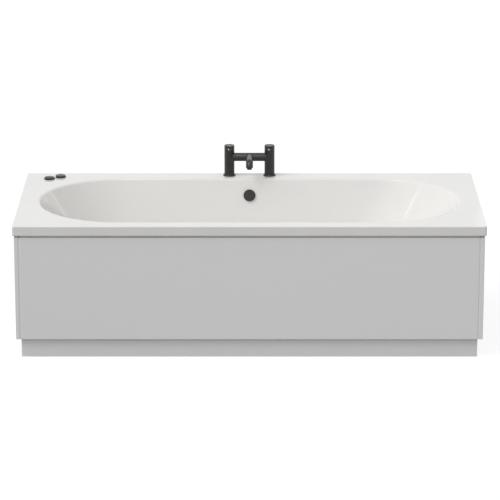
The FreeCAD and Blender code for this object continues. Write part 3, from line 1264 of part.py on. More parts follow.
def pump_base():
    x0 = -END_BAR_X + FRAME_TUBE / 2
    x1 = -OUTER_BEARER_X - FRAME_TUBE / 2
    top = tray_top_z()
    tray = joined([box(x0, x1, TRAY_FRONT_Y, TRAY_REAR_Y, top - TRAY_THICKNESS, top),
                   box(x0, x0 + TRAY_THICKNESS, TRAY_FRONT_Y, TRAY_REAR_Y, top, FRAME_TOP_Z),
                   box(x1 - TRAY_THICKNESS, x1, TRAY_FRONT_Y, TRAY_REAR_Y, top, FRAME_TOP_Z)])
    pieces = [tray]
    centre = pump_centre()
    fin_reach = math.hypot(MOTOR_OUTER, FIN_THICKNESS / 2)
    for y in (MOTOR_FRONT + CRADLE_INSET, MOTOR_BACK - CRADLE_INSET):
        y0 = centre.y + y - CRADLE_THICKNESS / 2
        cradle = box(centre.x - CRADLE_WIDTH / 2, centre.x + CRADLE_WIDTH / 2, y0, y0 + CRADLE_THICKNESS,
                     top, top + CRADLE_HEIGHT)
        pieces.append(cradle.cut(pump_rod(fin_reach, MOTOR_FRONT, MOTOR_BACK)))
    return pieces


def union_nuts():
    top = pump_outlet_top()
    inlet = pump_inlet_mouth()
    half = UNION_NUT_LENGTH / 2
    return [prism_nut(WATER_PIPE_RADIUS + UNION_NUT_WALL, WATER_PIPE_RADIUS + THREAD_GAP, top - Z_AXIS * half,
                      top + Z_AXIS * half, 8),
            prism_nut(HOSE_RADIUS + UNION_NUT_WALL, HOSE_RADIUS + THREAD_GAP, inlet - Y_AXIS * half,
                      inlet + Y_AXIS * half, 8)]


# Rim controls
def control_rod(place, radius, rise0, rise1):
    return rod(radius, place + Z_AXIS * rise0, place + Z_AXIS * rise1)


def button_body():
    bezel = control_rod(BUTTON, CONTROL_RADIUS, 0, BEZEL_HEIGHT)
    bezel = bezel.makeFillet(BEZEL_ROUND, flat_edges(bezel, RIM_HEIGHT + BEZEL_HEIGHT))
    neck = control_rod(BUTTON, CONTROL_NECK_RADIUS, -CONTROL_LENGTH, 0)
    spigot = control_rod(BUTTON, BARB_RADIUS, -CONTROL_LENGTH - BARB_LENGTH, -CONTROL_LENGTH)
    well = control_rod(BUTTON, CAP_RADIUS + RUNNING_GAP, CONTROL_FLOOR - CONTROL_LENGTH, BEZEL_HEIGHT)
    return joined([bezel, neck, spigot]).cut(well)


def button_cap():
    bottom = CAP_RISE - CAP_HEIGHT
    crown_radius = (CAP_RADIUS ** 2 + CAP_CROWN ** 2) / (2 * CAP_CROWN)
    cap = control_rod(BUTTON, CAP_RADIUS, bottom, CAP_RISE)
    return cap.common(Part.makeSphere(crown_radius, BUTTON + Z_AXIS * (CAP_RISE - crown_radius)))


def button_bellows():
    bottom = CONTROL_FLOOR - CONTROL_LENGTH
    top = CAP_RISE - CAP_HEIGHT
    pitch = (top - bottom) / BELLOWS_RIBS
    outline = [(0, bottom)]
    for number in range(BELLOWS_RIBS):
        outline.append((BELLOWS_RADIUS, bottom + pitch * number))
        outline.append((BELLOWS_RADIUS + BELLOWS_RIB, bottom + pitch * (number + 1 / 2)))
    outline.append((BELLOWS_RADIUS, top))
    outline.append((0, top))
    bellows = turned(outline)
    bellows.translate(BUTTON)
    return bellows


def air_control_body():
    flange = control_rod(AIR_CONTROL, CONTROL_RADIUS, 0, KNOB_SEAT)
    neck = control_rod(AIR_CONTROL, CONTROL_NECK_RADIUS, -CONTROL_LENGTH, 0)
    bore_floor = -KNOB_STEM_LENGTH - RUNNING_GAP
    bore = control_rod(AIR_CONTROL, KNOB_STEM_RADIUS + RUNNING_GAP, bore_floor, KNOB_SEAT)
    port_top = AIR_SOCKET_DEPTH - CONTROL_LENGTH
    duct_top = -KNOB_STEM_LENGTH - KNOB_SEAT
    port = control_rod(AIR_CONTROL, AIR_PIPE_RADIUS + THREAD_GAP, -CONTROL_LENGTH, port_top)
    duct = control_rod(AIR_CONTROL, AIR_PIPE_RADIUS - AIR_PIPE_WALL, -CONTROL_LENGTH, duct_top)
    return joined([flange, neck]).cut([bore, port, duct])


def air_control_knob():
    bottom = KNOB_SEAT + RUNNING_GAP
    top = bottom + KNOB_HEIGHT
    knob = control_rod(AIR_CONTROL, KNOB_RADIUS, bottom, top)
    knob = knob.makeFillet(KNOB_ROUND, flat_edges(knob, RIM_HEIGHT + top))
    notch_z = top + KNOB_NOTCH_RADIUS - KNOB_NOTCH_DEPTH
    notch = rod(KNOB_NOTCH_RADIUS, AIR_CONTROL + V(0, -KNOB_RADIUS, notch_z), AIR_CONTROL + V(0, 0, notch_z))
    stem = control_rod(AIR_CONTROL, KNOB_STEM_RADIUS, -KNOB_STEM_LENGTH, bottom)
    return joined([knob.cut(notch), stem])


def control_box_bounds():
    y0 = RAIL_YS[1] + FRAME_TUBE / 2
    z0 = FRAME_TOP_Z + BOX_BOTTOM_RISE
    return (BUTTON.x - BOX_LENGTH / 2, BUTTON.x + BOX_LENGTH / 2, y0, y0 + BOX_DEPTH, z0, z0 + BOX_HEIGHT)


def control_box():
    bounds = control_box_bounds()
    case = box(*bounds)
    case = case.makeFillet(BOX_ROUND, upright_edges(case))
    gland_y = (bounds[2] + bounds[3]) / 2
    gland = upright_rod(GLAND_RADIUS, BUTTON.x, gland_y, bounds[4] - GLAND_LENGTH, bounds[4])
    spigot = upright_rod(BARB_RADIUS, BUTTON.x, BUTTON.y, bounds[5], bounds[5] + BARB_LENGTH)
    return joined([case, gland, spigot])


def pneumatic_tube():
    top = BUTTON - Z_AXIS * CONTROL_LENGTH
    bottom = V(BUTTON.x, BUTTON.y, control_box_bounds()[5])
    return tube(TUBE_RADIUS, TUBE_RADIUS - TUBE_BORE, bottom, top)


def nozzle_nodes():
    return {"jet_nozzle_%d" % (number + 1): nozzle for number, nozzle in enumerate(on_jets(jet_nozzle()))}


def nodes():
    named = {
        "bath_shell": bath_shell(), "base_board": base_board(), "rim_battens": rim_battens(),
        "frame_rails": frame_rails(), "frame_cross_bars": frame_cross_bars(),
        "frame_uprights": frame_uprights(), "foot_pads": foot_pads(), "foot_studs": foot_studs(),
        "foot_nuts": foot_nuts(),
        "front_panel": front_panel(), "end_panels": end_panels(), "plinth_boards": plinth_boards(),
        "panel_battens": panel_battens(), "panel_brackets": panel_brackets(),
        "tap_body": tap_body(), "tap_spout": tap_spout(), "spout_aerator": spout_aerator(),
        "tap_cartridges": tap_cartridges(), "hot_handle": tap_handle(TAP_XS[0]),
        "cold_handle": tap_handle(TAP_XS[1]), "rim_nuts": rim_nuts(),
        "waste_flange": waste_flange(), "waste_plug": waste_plug(), "plug_seal": plug_seal(),
        "waste_body": waste_body(), "overflow_cover": overflow_cover(), "overflow_body": overflow_body(),
        "overflow_pipe": overflow_pipe(), "rubber_gaskets": rubber_gaskets(),
        "jet_faces": on_jets(jet_face()), "jet_bodies": on_jets(jet_body()),
        "water_pipes": water_pipes(), "water_fittings": water_fittings(),
        "air_pipes": air_pipes(), "air_fittings": air_fittings(), "suction_grille": suction_grille(),
        "suction_body": suction_body(), "suction_hose": suction_hose(), "pump_volute": pump_volute(),
        "pump_motor": pump_motor(), "pump_fan_cover": pump_fan_cover(), "pump_rotor": pump_rotor(),
        "pump_base": pump_base(), "union_nuts": union_nuts(), "control_box": control_box(),
        "button_body": button_body(), "button_cap": button_cap(), "button_bellows": button_bellows(),
        "air_control_body": air_control_body(), "air_control_knob": air_control_knob(),
        "pneumatic_tube": pneumatic_tube(),
    }
    named.update(nozzle_nodes())
    return named


def export(name, shape):
    solids = shape if isinstance(shape, list) else [shape]
    Part.makeCompound(solids).exportStep(os.path.join("parts", name + ".step"))
    print(name, len(solids), "solids", round(sum(solid.Volume for solid in solids) / 1000, 1), "cm3")


os.makedirs("parts", exist_ok=True)
for node_name, node_shape in nodes().items():
    export(node_name, node_shape)
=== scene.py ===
# %% [markdown]
# # Dressing a jetted bath
# The imported bath comes in as a frame of named pieces that already have their real sizes.
# This lesson gives every piece the finish that it has in a bathroom, adds the small hardware
# that is too fine for the solid model, and sets the scene to photograph it as a catalogue would.
# Nothing here moves or resizes a imported piece, so taps, plug, jets and pump keep their motion.

# %% Load the imported bath
import json
import math

import bpy
import numpy as np
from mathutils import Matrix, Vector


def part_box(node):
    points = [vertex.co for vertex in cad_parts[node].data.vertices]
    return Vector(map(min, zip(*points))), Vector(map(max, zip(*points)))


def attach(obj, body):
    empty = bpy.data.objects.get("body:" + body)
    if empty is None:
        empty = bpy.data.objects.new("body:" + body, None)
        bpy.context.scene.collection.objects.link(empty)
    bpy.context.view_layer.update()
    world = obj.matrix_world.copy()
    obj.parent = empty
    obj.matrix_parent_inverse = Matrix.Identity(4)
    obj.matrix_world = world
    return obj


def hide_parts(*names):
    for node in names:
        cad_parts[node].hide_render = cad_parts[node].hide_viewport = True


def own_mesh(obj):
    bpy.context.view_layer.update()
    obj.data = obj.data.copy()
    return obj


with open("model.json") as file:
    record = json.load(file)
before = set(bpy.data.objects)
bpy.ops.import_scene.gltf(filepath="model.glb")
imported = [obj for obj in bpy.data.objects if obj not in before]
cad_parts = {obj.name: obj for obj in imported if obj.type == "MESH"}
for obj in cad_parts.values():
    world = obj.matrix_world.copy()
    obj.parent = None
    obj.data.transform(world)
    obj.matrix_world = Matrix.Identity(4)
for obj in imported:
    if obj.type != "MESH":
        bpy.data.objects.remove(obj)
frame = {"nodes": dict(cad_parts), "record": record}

MM = 0.001
scene = bpy.context.scene
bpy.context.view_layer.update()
slot_of = {row["node"]: row["material_slot"] for row in frame["record"]["subparts"]}

# %% [markdown]
# ## Colour and nodes
# A swatch is read off a screen as an sRGB hex code, while the renderer adds up light in linear
# numbers, so one function converts between them. A second one adds a shader node with its
# options, loose values and wires: every finish below is written with these two.

# %% Helpers for the finishes
def linear(code):
    """Hex colour to linear light: c/12.92 for the darkest tones, else ((c+0.055)/1.055)^2.4."""
    tone = np.array([int(code[i:i + 2], 16) for i in (1, 3, 5)]) / 255
    return (*np.where(tone <= 0.04045, tone / 12.92, ((tone + 0.055) / 1.055) ** 2.4), 1)


def join(node, links):
    """Wires each source to the node's input of that name or number."""
    for name, source in links.items():
        node.id_data.links.new(source, node.inputs[name])


def add(finish, kind, links=None, values=None, stops=(), **settings):
    """Adds a shader node: settings are its options, values its loose inputs, stops its ramp."""
    node = finish.node_tree.nodes.new("ShaderNode" + kind)
    for name, value in settings.items():
        setattr(node, name, value)
    for name, value in (values or {}).items():
        node.inputs[name].default_value = value
    for number, (place, code) in enumerate(stops):
        ramp = node.color_ramp.elements
        stop = ramp[number] if number < len(ramp) else ramp.new(place)
        stop.position, stop.color = place, linear(code)
    join(node, links or {})
    return node


def begin(name, values):
    """A new finish: the material, its main shader with these values, and Object coordinates."""
    finish = bpy.data.materials.new(name)
    finish.use_nodes = True
    shader = finish.node_tree.nodes["Principled BSDF"]
    for socket, value in values.items():
        shader.inputs[socket].default_value = value
    return finish, shader, add(finish, "TexCoord").outputs["Object"]


finishes = {}
print("a mid grey, #808080, is", round(linear("#808080")[0], 3), "in linear light")

# %% [markdown]
# ## Sanitary acrylic
# The tub is one sheet of cast acrylic, heated and drawn into a mould, so its face is nearly as
# smooth as glass: a low roughness and the IOR of acrylic, 1.49. Drawing leaves a faint ripple
# that bends reflections by a hair. The back is different: chopped glass strands in resin are
# sprayed on for stiffness, rough and creamy. One finish serves both sides and chooses by asking
# whether a face looks towards a point above the well or away from it; the lip stays acrylic.

# %% White acrylic with its laminated back
CLOUD, STRAND, RIPPLE = 180 * MM, 14 * MM, 60 * MM
ABOVE_WELL = (0, -11.5 * MM, 620 * MM)
INSIDE_LIP = (("X", 893.5 * MM), ("Y", 393.5 * MM))

acrylic, shader, place = begin("cast_white_acrylic", {"IOR": 1.49})
slow = add(acrylic, "TexNoise", {"Vector": place}, {"Scale": 1 / CLOUD, "Detail": 2.0}).outputs[0]
face = add(acrylic, "ValToRGB", {"Fac": slow},
           stops=((0.3, "#EFEEEC"), (0.7, "#F2F1EE"))).outputs[0]
strands = add(acrylic, "TexNoise", {"Vector": place},
              {"Scale": 1 / STRAND, "Detail": 6.0, "Roughness": 0.7, "Distortion": 2.5}).outputs[0]
back = add(acrylic, "ValToRGB", {"Fac": strands},
           stops=((0.35, "#C6BFA6"), (0.5, "#DAD5C2"), (0.66, "#ECE9DC"))).outputs[0]
ray = add(acrylic, "VectorMath", {0: place}, {1: ABOVE_WELL}, operation="SUBTRACT").outputs[0]
outward = add(acrylic, "NewGeometry").outputs["True Normal"]
away = add(acrylic, "VectorMath", {0: ray, 1: outward}, operation="DOT_PRODUCT").outputs["Value"]
behind = add(acrylic, "Math", {0: away}, {1: 0.0}, operation="GREATER_THAN").outputs[0]
axes = add(acrylic, "SeparateXYZ", {0: place})
for axis, lip in INSIDE_LIP:
    reach = add(acrylic, "Math", {0: axes.outputs[axis]}, operation="ABSOLUTE").outputs[0]
    within = add(acrylic, "Math", {0: reach}, {1: lip}, operation="LESS_THAN").outputs[0]
    behind = add(acrylic, "Math", {0: behind, 1: within}, operation="MULTIPLY").outputs[0]
colour = add(acrylic, "Mix", {0: behind, 6: face, 7: back}, data_type="RGBA").outputs[2]
gloss = add(acrylic, "MapRange", {"Value": behind}, {"To Min": 0.09, "To Max": 0.55}).outputs[0]
ripple = add(acrylic, "TexNoise", {"Vector": place},
             {"Scale": 1 / RIPPLE, "Detail": 1.0}).outputs[0]
relief = add(acrylic, "Mix", {0: behind, 2: ripple, 3: strands}, data_type="FLOAT").outputs[0]
depth = add(acrylic, "MapRange", {"Value": behind},
            {"To Min": 0.05 * MM, "To Max": 1.2 * MM}).outputs[0]
bump = add(acrylic, "Bump", {"Height": relief, "Distance": depth}, {"Strength": 1.0}).outputs[0]
join(shader, {"Base Color": colour, "Roughness": gloss, "Normal": bump})
finishes["white_acrylic"] = acrylic
print("acrylic nodes:", len(acrylic.node_tree.nodes))

# %% [markdown]
# ## Panel foil
# Front, ends and plinth are boards wrapped in a satin foil. Foil over board has a pebble so
# fine that it only softens the highlight; it is drawn here at 1.4 mm, coarser than the real
# 0.3 mm, so that it shows at all. A slow change in gloss keeps the wide face from looking flat.

# %% Satin foil over board
PEBBLE, GLOSS_CLOUD = 1.4 * MM, 260 * MM

foil, shader, place = begin("satin_panel_foil", {"IOR": 1.46})
pebble = add(foil, "TexNoise", {"Vector": place}, {"Scale": 1 / PEBBLE, "Detail": 3.0}).outputs[0]
cloud = add(foil, "TexNoise", {"Vector": place},
            {"Scale": 1 / GLOSS_CLOUD, "Detail": 3.0}).outputs[0]
tone = add(foil, "ValToRGB", {"Fac": pebble},
           stops=((0.25, "#F1F1F1"), (0.75, "#F5F5F5"))).outputs[0]
satin = add(foil, "MapRange", {"Value": cloud}, {"To Min": 0.38, "To Max": 0.5}).outputs[0]
bump = add(foil, "Bump", {"Height": pebble}, {"Strength": 0.35, "Distance": 0.06 * MM}).outputs[0]
join(shader, {"Base Color": tone, "Roughness": satin, "Normal": bump})
finishes["panel_foil"] = foil
print("foil nodes:", len(foil.node_tree.nodes))

# %% [markdown]
# ## Matt black coating
# Filler, overflow and plug are brass under a matt black coat: a dielectric skin with a soft,
# wide highlight, so metallic stays 0. Coating leaves a grain of about 0.5 mm, drawn at 0.9 mm.

# %% Black coat on brass
COAT_GRAIN = 0.9 * MM

coat, shader, place = begin("matt_black_coat", {"IOR": 1.5, "Specular IOR Level": 0.44})
grain = add(coat, "TexNoise", {"Vector": place},
            {"Scale": 1 / COAT_GRAIN, "Detail": 4.0}).outputs[0]
tone = add(coat, "ValToRGB", {"Fac": grain}, stops=((0.3, "#292928"), (0.7, "#323230"))).outputs[0]
matt = add(coat, "MapRange", {"Value": grain}, {"To Min": 0.25, "To Max": 0.33}).outputs[0]
bump = add(coat, "Bump", {"Height": grain}, {"Strength": 0.3, "Distance": 0.05 * MM}).outputs[0]
join(shader, {"Base Color": tone, "Roughness": matt, "Normal": bump})
finishes["black_coated_brass"] = coat
print("coat nodes:", len(coat.node_tree.nodes))

# %% [markdown]
# ## Moulded plastics and rubber
# Controls, jets, pipes and seals are moulded or extruded. What tells them apart is colour, how
# far the gloss is taken down by the texture of the mould, and the size of that texture, so a
# table holds those values and one loop makes the finishes. A slow second noise stands for the
# flow of the melt, which clouds the gloss over some centimetres.

# %% Plastics and rubber
MELT_FLOW = 35 * MM
moulded = {  # slot: name, dark, light, gloss from, gloss to, texture in mm, depth in mm, IOR
    "black_plastic": ("moulded_black_abs", "#1F1F20", "#29292A", 0.26, 0.34, 0.8, 0.04, 1.53),
    "white_fitting_plastic": ("moulded_white_pvc", "#E6E6E1", "#EEEEEA",
                              0.26, 0.4, 3.0, 0.03, 1.53),
    "grey_pipe_plastic": ("extruded_grey_pvc", "#7E8285", "#8C9093", 0.32, 0.46, 2.0, 0.04, 1.53),
    "foot_plastic": ("moulded_black_nylon", "#1A1A1B", "#262627", 0.5, 0.64, 1.0, 0.08, 1.53),
    "black_rubber": ("black_epdm_rubber", "#19191A", "#222223", 0.66, 0.82, 1.6, 0.08, 1.52),
}
for slot, (name, dark, light, low, high, size, depth, ior) in moulded.items():
    plastic, shader, place = begin(name, {"IOR": ior})
    skin = add(plastic, "TexNoise", {"Vector": place},
               {"Scale": 1 / (size * MM), "Detail": 4.0}).outputs[0]
    flow = add(plastic, "TexNoise", {"Vector": place},
               {"Scale": 1 / MELT_FLOW, "Detail": 2.0}).outputs[0]
    tone = add(plastic, "ValToRGB", {"Fac": skin}, stops=((0.3, dark), (0.7, light))).outputs[0]
    gloss = add(plastic, "MapRange", {"Value": flow}, {"To Min": low, "To Max": high}).outputs[0]
    bump = add(plastic, "Bump", {"Height": skin},
               {"Strength": 0.5, "Distance": depth * MM}).outputs[0]
    join(shader, {"Base Color": tone, "Roughness": gloss, "Normal": bump})
    finishes[slot] = plastic
print("moulded finishes:", sorted(moulded))

# %% [markdown]
# ## Metals
# Zinc on steel freezes in patches of slightly different grey; a cast motor body keeps the sand
# of its mould; a turned brass cartridge is smooth and warm. Metals take their colour from the
# reflection, so metallic is 1 and the default IOR stays.

# %% Zinc, cast aluminium and brass
metals = {  # slot: name, dark, light, gloss from, gloss to, patch in mm, grain in mm, depth in mm
    "zinc_steel": ("zinc_plated_steel", "#AEB2B6", "#C9CDD0", 0.3, 0.46, 11.0, 1.2, 0.03),
    "motor_aluminium": ("cast_aluminium", "#8E9296", "#A6AAAD", 0.46, 0.6, 26.0, 1.5, 0.14),
    "brass": ("turned_brass", "#B58A3E", "#CFA95A", 0.22, 0.34, 6.0, 0.8, 0.02),
}
for slot, (name, dark, light, low, high, patch, size, depth) in metals.items():
    metal, shader, place = begin(name, {"Metallic": 1.0})
    spangle = add(metal, "TexVoronoi", {"Vector": place}, {"Scale": 1 / (patch * MM)},
                  feature="SMOOTH_F1").outputs["Color"]
    shade = add(metal, "SeparateColor", {0: spangle}).outputs[0]
    grain = add(metal, "TexNoise", {"Vector": place},
                {"Scale": 1 / (size * MM), "Detail": 4.0}).outputs[0]
    tone = add(metal, "ValToRGB", {"Fac": shade}, stops=((0.2, dark), (0.8, light))).outputs[0]
    gloss = add(metal, "MapRange", {"Value": shade}, {"To Min": low, "To Max": high}).outputs[0]
    bump = add(metal, "Bump", {"Height": grain},
               {"Strength": 0.6, "Distance": depth * MM}).outputs[0]
    join(shader, {"Base Color": tone, "Roughness": gloss, "Normal": bump})
    finishes[slot] = metal
print("metal finishes:", sorted(metals))

# %% [markdown]
# ## Timber
# The floor of the tub is backed by chipboard, pressed from flakes a few millimetres long, and
# the rim is stiffened by planed softwood. Flat-sawn battens show their growth rings as nearly
# level lines, so noise squeezed 60 times along Z suits battens that run along X and along Y.

# %% Chipboard and softwood
FLAKE = 5 * MM
SQUEEZE = (5.0, 5.0, 300.0)

board, shader, place = begin("raw_chipboard", {"IOR": 1.5, "Roughness": 0.75})
flake = add(board, "TexVoronoi", {"Vector": place}, {"Scale": 1 / FLAKE}).outputs["Color"]
shade = add(board, "SeparateColor", {0: flake}).outputs[1]
tone = add(board, "ValToRGB", {"Fac": shade},
           stops=((0.0, "#9C7647"), (0.45, "#BE9863"), (1.0, "#D8B985"))).outputs[0]
bump = add(board, "Bump", {"Height": shade}, {"Strength": 0.5, "Distance": 0.2 * MM}).outputs[0]
join(shader, {"Base Color": tone, "Normal": bump})
finishes["chipboard"] = board

wood, shader, place = begin("planed_softwood", {"IOR": 1.5})
squeezed = add(wood, "Mapping", {"Vector": place}, {"Scale": SQUEEZE}).outputs[0]
rings = add(wood, "TexNoise", {"Vector": squeezed},
            {"Scale": 1.0, "Detail": 4.0, "Distortion": 0.6}).outputs[0]
tone = add(wood, "ValToRGB", {"Fac": rings},
           stops=((0.3, "#B98D55"), (0.5, "#D9B57F"), (0.72, "#E8CFA2"))).outputs[0]
planed = add(wood, "MapRange", {"Value": rings}, {"To Min": 0.62, "To Max": 0.78}).outputs[0]
bump = add(wood, "Bump", {"Height": rings}, {"Strength": 0.4, "Distance": 0.15 * MM}).outputs[0]
join(shader, {"Base Color": tone, "Roughness": planed, "Normal": bump})
finishes["softwood"] = wood
print("finishes:", len(finishes))

# %% [markdown]
# ## Putting the finishes on
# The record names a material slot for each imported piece, so the finish is looked up by slot and
# set in the piece's own material slot; the mesh itself isn't touched.

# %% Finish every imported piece
for name, piece in frame["nodes"].items():
    piece.data.materials.clear()
    piece.data.materials.append(finishes[slot_of[name]])
print("finished:", len(frame["nodes"]), "pieces in", len(set(slot_of.values())), "finishes")

# %% [markdown]
# ## Small hardware
# Threads, screw heads and weld beads are too fine for the solid model, yet they are what tells a
# made thing from a block. Each is a surface of two parameters: how far along it, and how far
# round. numpy works out all points of a shape at once, and the same array is set down at every
# place that needs a copy, so 32 screws cost one formula. All places below are in millimetres.

# %% Pieces from rings of points
def piece_of_rings(name, rings, slot, hollow=False, smooth=True):
    """Closed skins from points in mm, numbered [copy, row, column]. Each four neighbours make a
    face and the last column joins the first. The end rows close on their middle points, or on
    each other when hollow."""
    copies, rows, columns = rings.shape[:3]
    ends = rings[:, [0, -1]].mean(axis=2)
    points = np.concatenate([rings.reshape(copies, -1, 3), ends], axis=1)
    here = np.arange(rows * columns).reshape(rows, columns)
    if hollow:
        points = points[:, :-2]
        here = np.concatenate([here, here[:1]])
    there = np.roll(here, -1, axis=1)
    faces = np.stack([here[:-1], there[:-1], there[1:], here[1:]], axis=-1).reshape(-1, 4)
    step = np.arange(copies)[:, None, None] * points.shape[1]
    skins = (faces + step).reshape(-1, 4).tolist()
    if not hollow:
        middle = np.full(columns, rows * columns)
        fans = [np.stack([middle, there[0], here[0]], 1),
                np.stack([middle + 1, here[-1], there[-1]], 1)]
        skins += (np.concatenate(fans) + step).reshape(-1, 3).tolist()
    mesh = bpy.data.meshes.new(name)
    mesh.from_pydata(points.reshape(-1, 3) * MM, [], skins)
    mesh.polygons.foreach_set("use_smooth", np.full(len(skins), smooth))
    mesh.materials.append(finishes[slot])
    piece = bpy.data.objects.new(name, mesh)
    scene.collection.objects.link(piece)
    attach(piece, "bath")
    print(name + ":", copies, "copies,", len(skins), "faces")
    return piece


def copied(shape, spots, axes):
    """A shape drawn about Z, set down at each spot: point (a, b, h) goes to
    spot + a u + b v + h axis, where u and v are square to the axis and to each other."""
    spots, axes = np.array(spots, float), np.array(axes, float)
    helper = np.where(np.abs(axes[:, 2:]) > 0.9, (1.0, 0.0, 0.0), (0.0, 0.0, 1.0))
    u = np.cross(helper, axes)
    u /= np.linalg.norm(u, axis=1, keepdims=True)
    frames = np.stack([u, np.cross(axes, u), axes], axis=1)
    return spots[:, None, None] + np.einsum("rck,nkx->nrcx", shape, frames)


def turned(reach, height, columns):
    """Rows of a shape about Z: reach is the distance from the axis, height the place along it."""
    angle = np.arange(columns) * 2 * np.pi / columns
    grid = len(height), columns
    reach = np.broadcast_to(np.asarray(reach, float).reshape(len(height), -1), grid)
    level = np.broadcast_to(np.asarray(height, float).reshape(len(height), -1), grid)
    return np.stack([reach * np.cos(angle), reach * np.sin(angle), level], axis=-1)


# %% [markdown]
# ## Threads
# The bath is levelled on eight M10 studs, whose thread is a ridge that climbs 1.5 mm a turn, and
# the tap tails and control necks carry the threads that their nuts run on. Cutting a
# helix into solids is slow; here the radius simply follows height less turn, and the studs
# stand in for the plain ones of the solid model, which stay behind for collision.

# %% Levelling studs
UP, DOWN, REARWARD, RIGHTWARD = (0, 0, 1), (0, 0, -1), (0, 1, 0), (1, 0, 0)
RAIL_Y = (-287.5, 264.5)
FOOT_X, STUD_BOTTOM = (-828, -300, 300, 828), 5
THREAD_COLUMNS = 16


def thread(radius, depth, pitch, length):
    """Radius less depth times twice the distance of (height / pitch - turn) from a whole number."""
    height = np.linspace(0, length, int(4 * length / pitch))
    phase = height[:, None] / pitch - np.arange(THREAD_COLUMNS) / THREAD_COLUMNS
    ridge = radius - 2 * depth * np.abs(phase - np.round(phase))
    return turned(ridge, height, THREAD_COLUMNS)


feet = [(x, y, STUD_BOTTOM) for y in RAIL_Y for x in FOOT_X]
stud = thread(radius=5.0, depth=0.9, pitch=1.5, length=102)
studs = piece_of_rings("levelling_studs", copied(stud, feet, [UP] * len(feet)), "zinc_steel",
                       smooth=False)
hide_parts("foot_studs")

# %% [markdown]
# ## Threads on plain shanks
# Tap tails and control necks are plain rods in the solid model. A thread alone, as a thin sleeve,
# slips over them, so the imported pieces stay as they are.

# %% Tap tails and control necks
SLEEVE_DEPTH, SLEEVE_WALL = 0.7, 1.0
TAIL_X, TAIL_Y = (-81, 81), 364
TAIL_RUNS = (("tail_end_threads", 454.5, 23), ("tail_nut_threads", 482.5, 29))
NECKS = [(-762, 334.5, 475), (-805, 306, 475)]


def sleeve(radius, pitch, length):
    """The thread alone, with a plain wall inside it, to sit on a plain shank."""
    outside = thread(radius, SLEEVE_DEPTH, pitch, length)
    inside = turned([radius - SLEEVE_WALL] * 2, [0, length], THREAD_COLUMNS)
    return np.concatenate([inside[:1], outside, inside[1:]])


for name, bottom, length in TAIL_RUNS:
    tails = [(x, TAIL_Y, bottom) for x in TAIL_X]
    run = sleeve(radius=13.5, pitch=1.8, length=length)
    piece_of_rings(name, copied(run, tails, [UP] * 2), "black_coated_brass", hollow=True,
                   smooth=False)
run = sleeve(radius=17.4, pitch=2.0, length=36.5)
piece_of_rings("control_neck_threads", copied(run, NECKS, [UP] * 2), "black_plastic", hollow=True,
               smooth=False)

# %% [markdown]
# ## The bellows under the button
# Pressing the button squeezes a rubber bellows, and its puff of air starts the pump. The folds are
# a wave of the radius from floor to cap.

# %% Bellows
FOLDS, FOLD_DEPTH, PRESS = 5, 2.5, 4.0
BELLOWS_ROWS, BELLOWS_COLUMNS = 41, 24

low, high = np.array(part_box("button_bellows")) / MM
height = np.linspace(low[2], high[2], BELLOWS_ROWS)
wave = np.sin(np.pi * FOLDS * (height - low[2]) / (high[2] - low[2])) ** 2
middle = (low[0] + high[0]) / 2, (low[1] + high[1]) / 2, 0
skin = turned((high[0] - low[0]) / 2 - FOLD_DEPTH * (1 - wave), height, BELLOWS_COLUMNS)
bellows = piece_of_rings("bellows_folds", copied(skin, [middle], [UP]), slot_of["button_bellows"])
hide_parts("button_bellows")
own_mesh(bellows)

# %% [markdown]
# ## Bracket screws
# Pan heads with a cross recess hold the panel brackets to panel and batten. A head is a low dome
# whose height drops wherever a point falls inside the cross, so the recess needs no cutting.

# %% Pan heads
HEAD_COLUMNS = 24
HEAD_SHARES = (1, 1, 0.86, 0.7, 0.58, 0.54, 0.4, 0.26, 0.16)
HEAD_RISE, CROSS_REACH, CROSS_ARM, CROSS_DROP = 0.55, 0.56, 0.2, 0.3
SCREW_SIDE = 8
BRACKET_X, FRONT_FOOT_Y, FRONT_TOP_Y = (-720, -240, 240, 720), -374, -351
BRACKET_Y, END_FOOT_X, END_TOP_X = (-191.5, 168.5), 877, 854
FOOT_Z, TOP_Z = 477, 500


def pan_head(radius):
    """A dome, in shares of its radius; points near either arm of the cross drop into it."""
    share = np.array(HEAD_SHARES)
    rise = HEAD_RISE * np.sqrt(1 - 0.75 * share ** 2)
    rise[0] = 0
    angle = np.arange(HEAD_COLUMNS) * 2 * np.pi / HEAD_COLUMNS
    near_arm = np.abs(np.sin(2 * angle)) * share[:, None] < CROSS_ARM
    cross = (share[:, None] < CROSS_REACH) & near_arm
    return turned(radius * share, radius * (rise[:, None] - CROSS_DROP * cross), HEAD_COLUMNS)


spots, axes = [], []
for side in (-SCREW_SIDE, SCREW_SIDE):
    for x in BRACKET_X:
        spots += [(x + side, FRONT_FOOT_Y, FOOT_Z), (x + side, FRONT_TOP_Y, TOP_Z)]
        axes += [REARWARD, DOWN]
    for end in (-1, 1):
        for y in BRACKET_Y:
            spots += [(END_FOOT_X * end, y + side, FOOT_Z), (END_TOP_X * end, y + side, TOP_Z)]
            axes += [(-end, 0, 0), DOWN]
piece_of_rings("bracket_screws", copied(pan_head(4.0), spots, axes), "zinc_steel")

# %% [markdown]
# ## Motor screws
# Small socket heads clamp the motor to the volute, evenly spaced round its flange. The socket is
# a hexagon: its radius is that of the flats over the cosine of the angle to the nearest flat.

# %% Socket heads
MOTOR_X, FLANGE_Y, MOTOR_Z = -750, -128.5, 154.23
FLANGE_SCREWS, SCREW_CIRCLE = 8, 55.1
SOCKET_LEVELS = (0, 1.25, 1.4, 1.4, 0.7)
SOFT_RIM, SOCKET = 0.86, 0.5


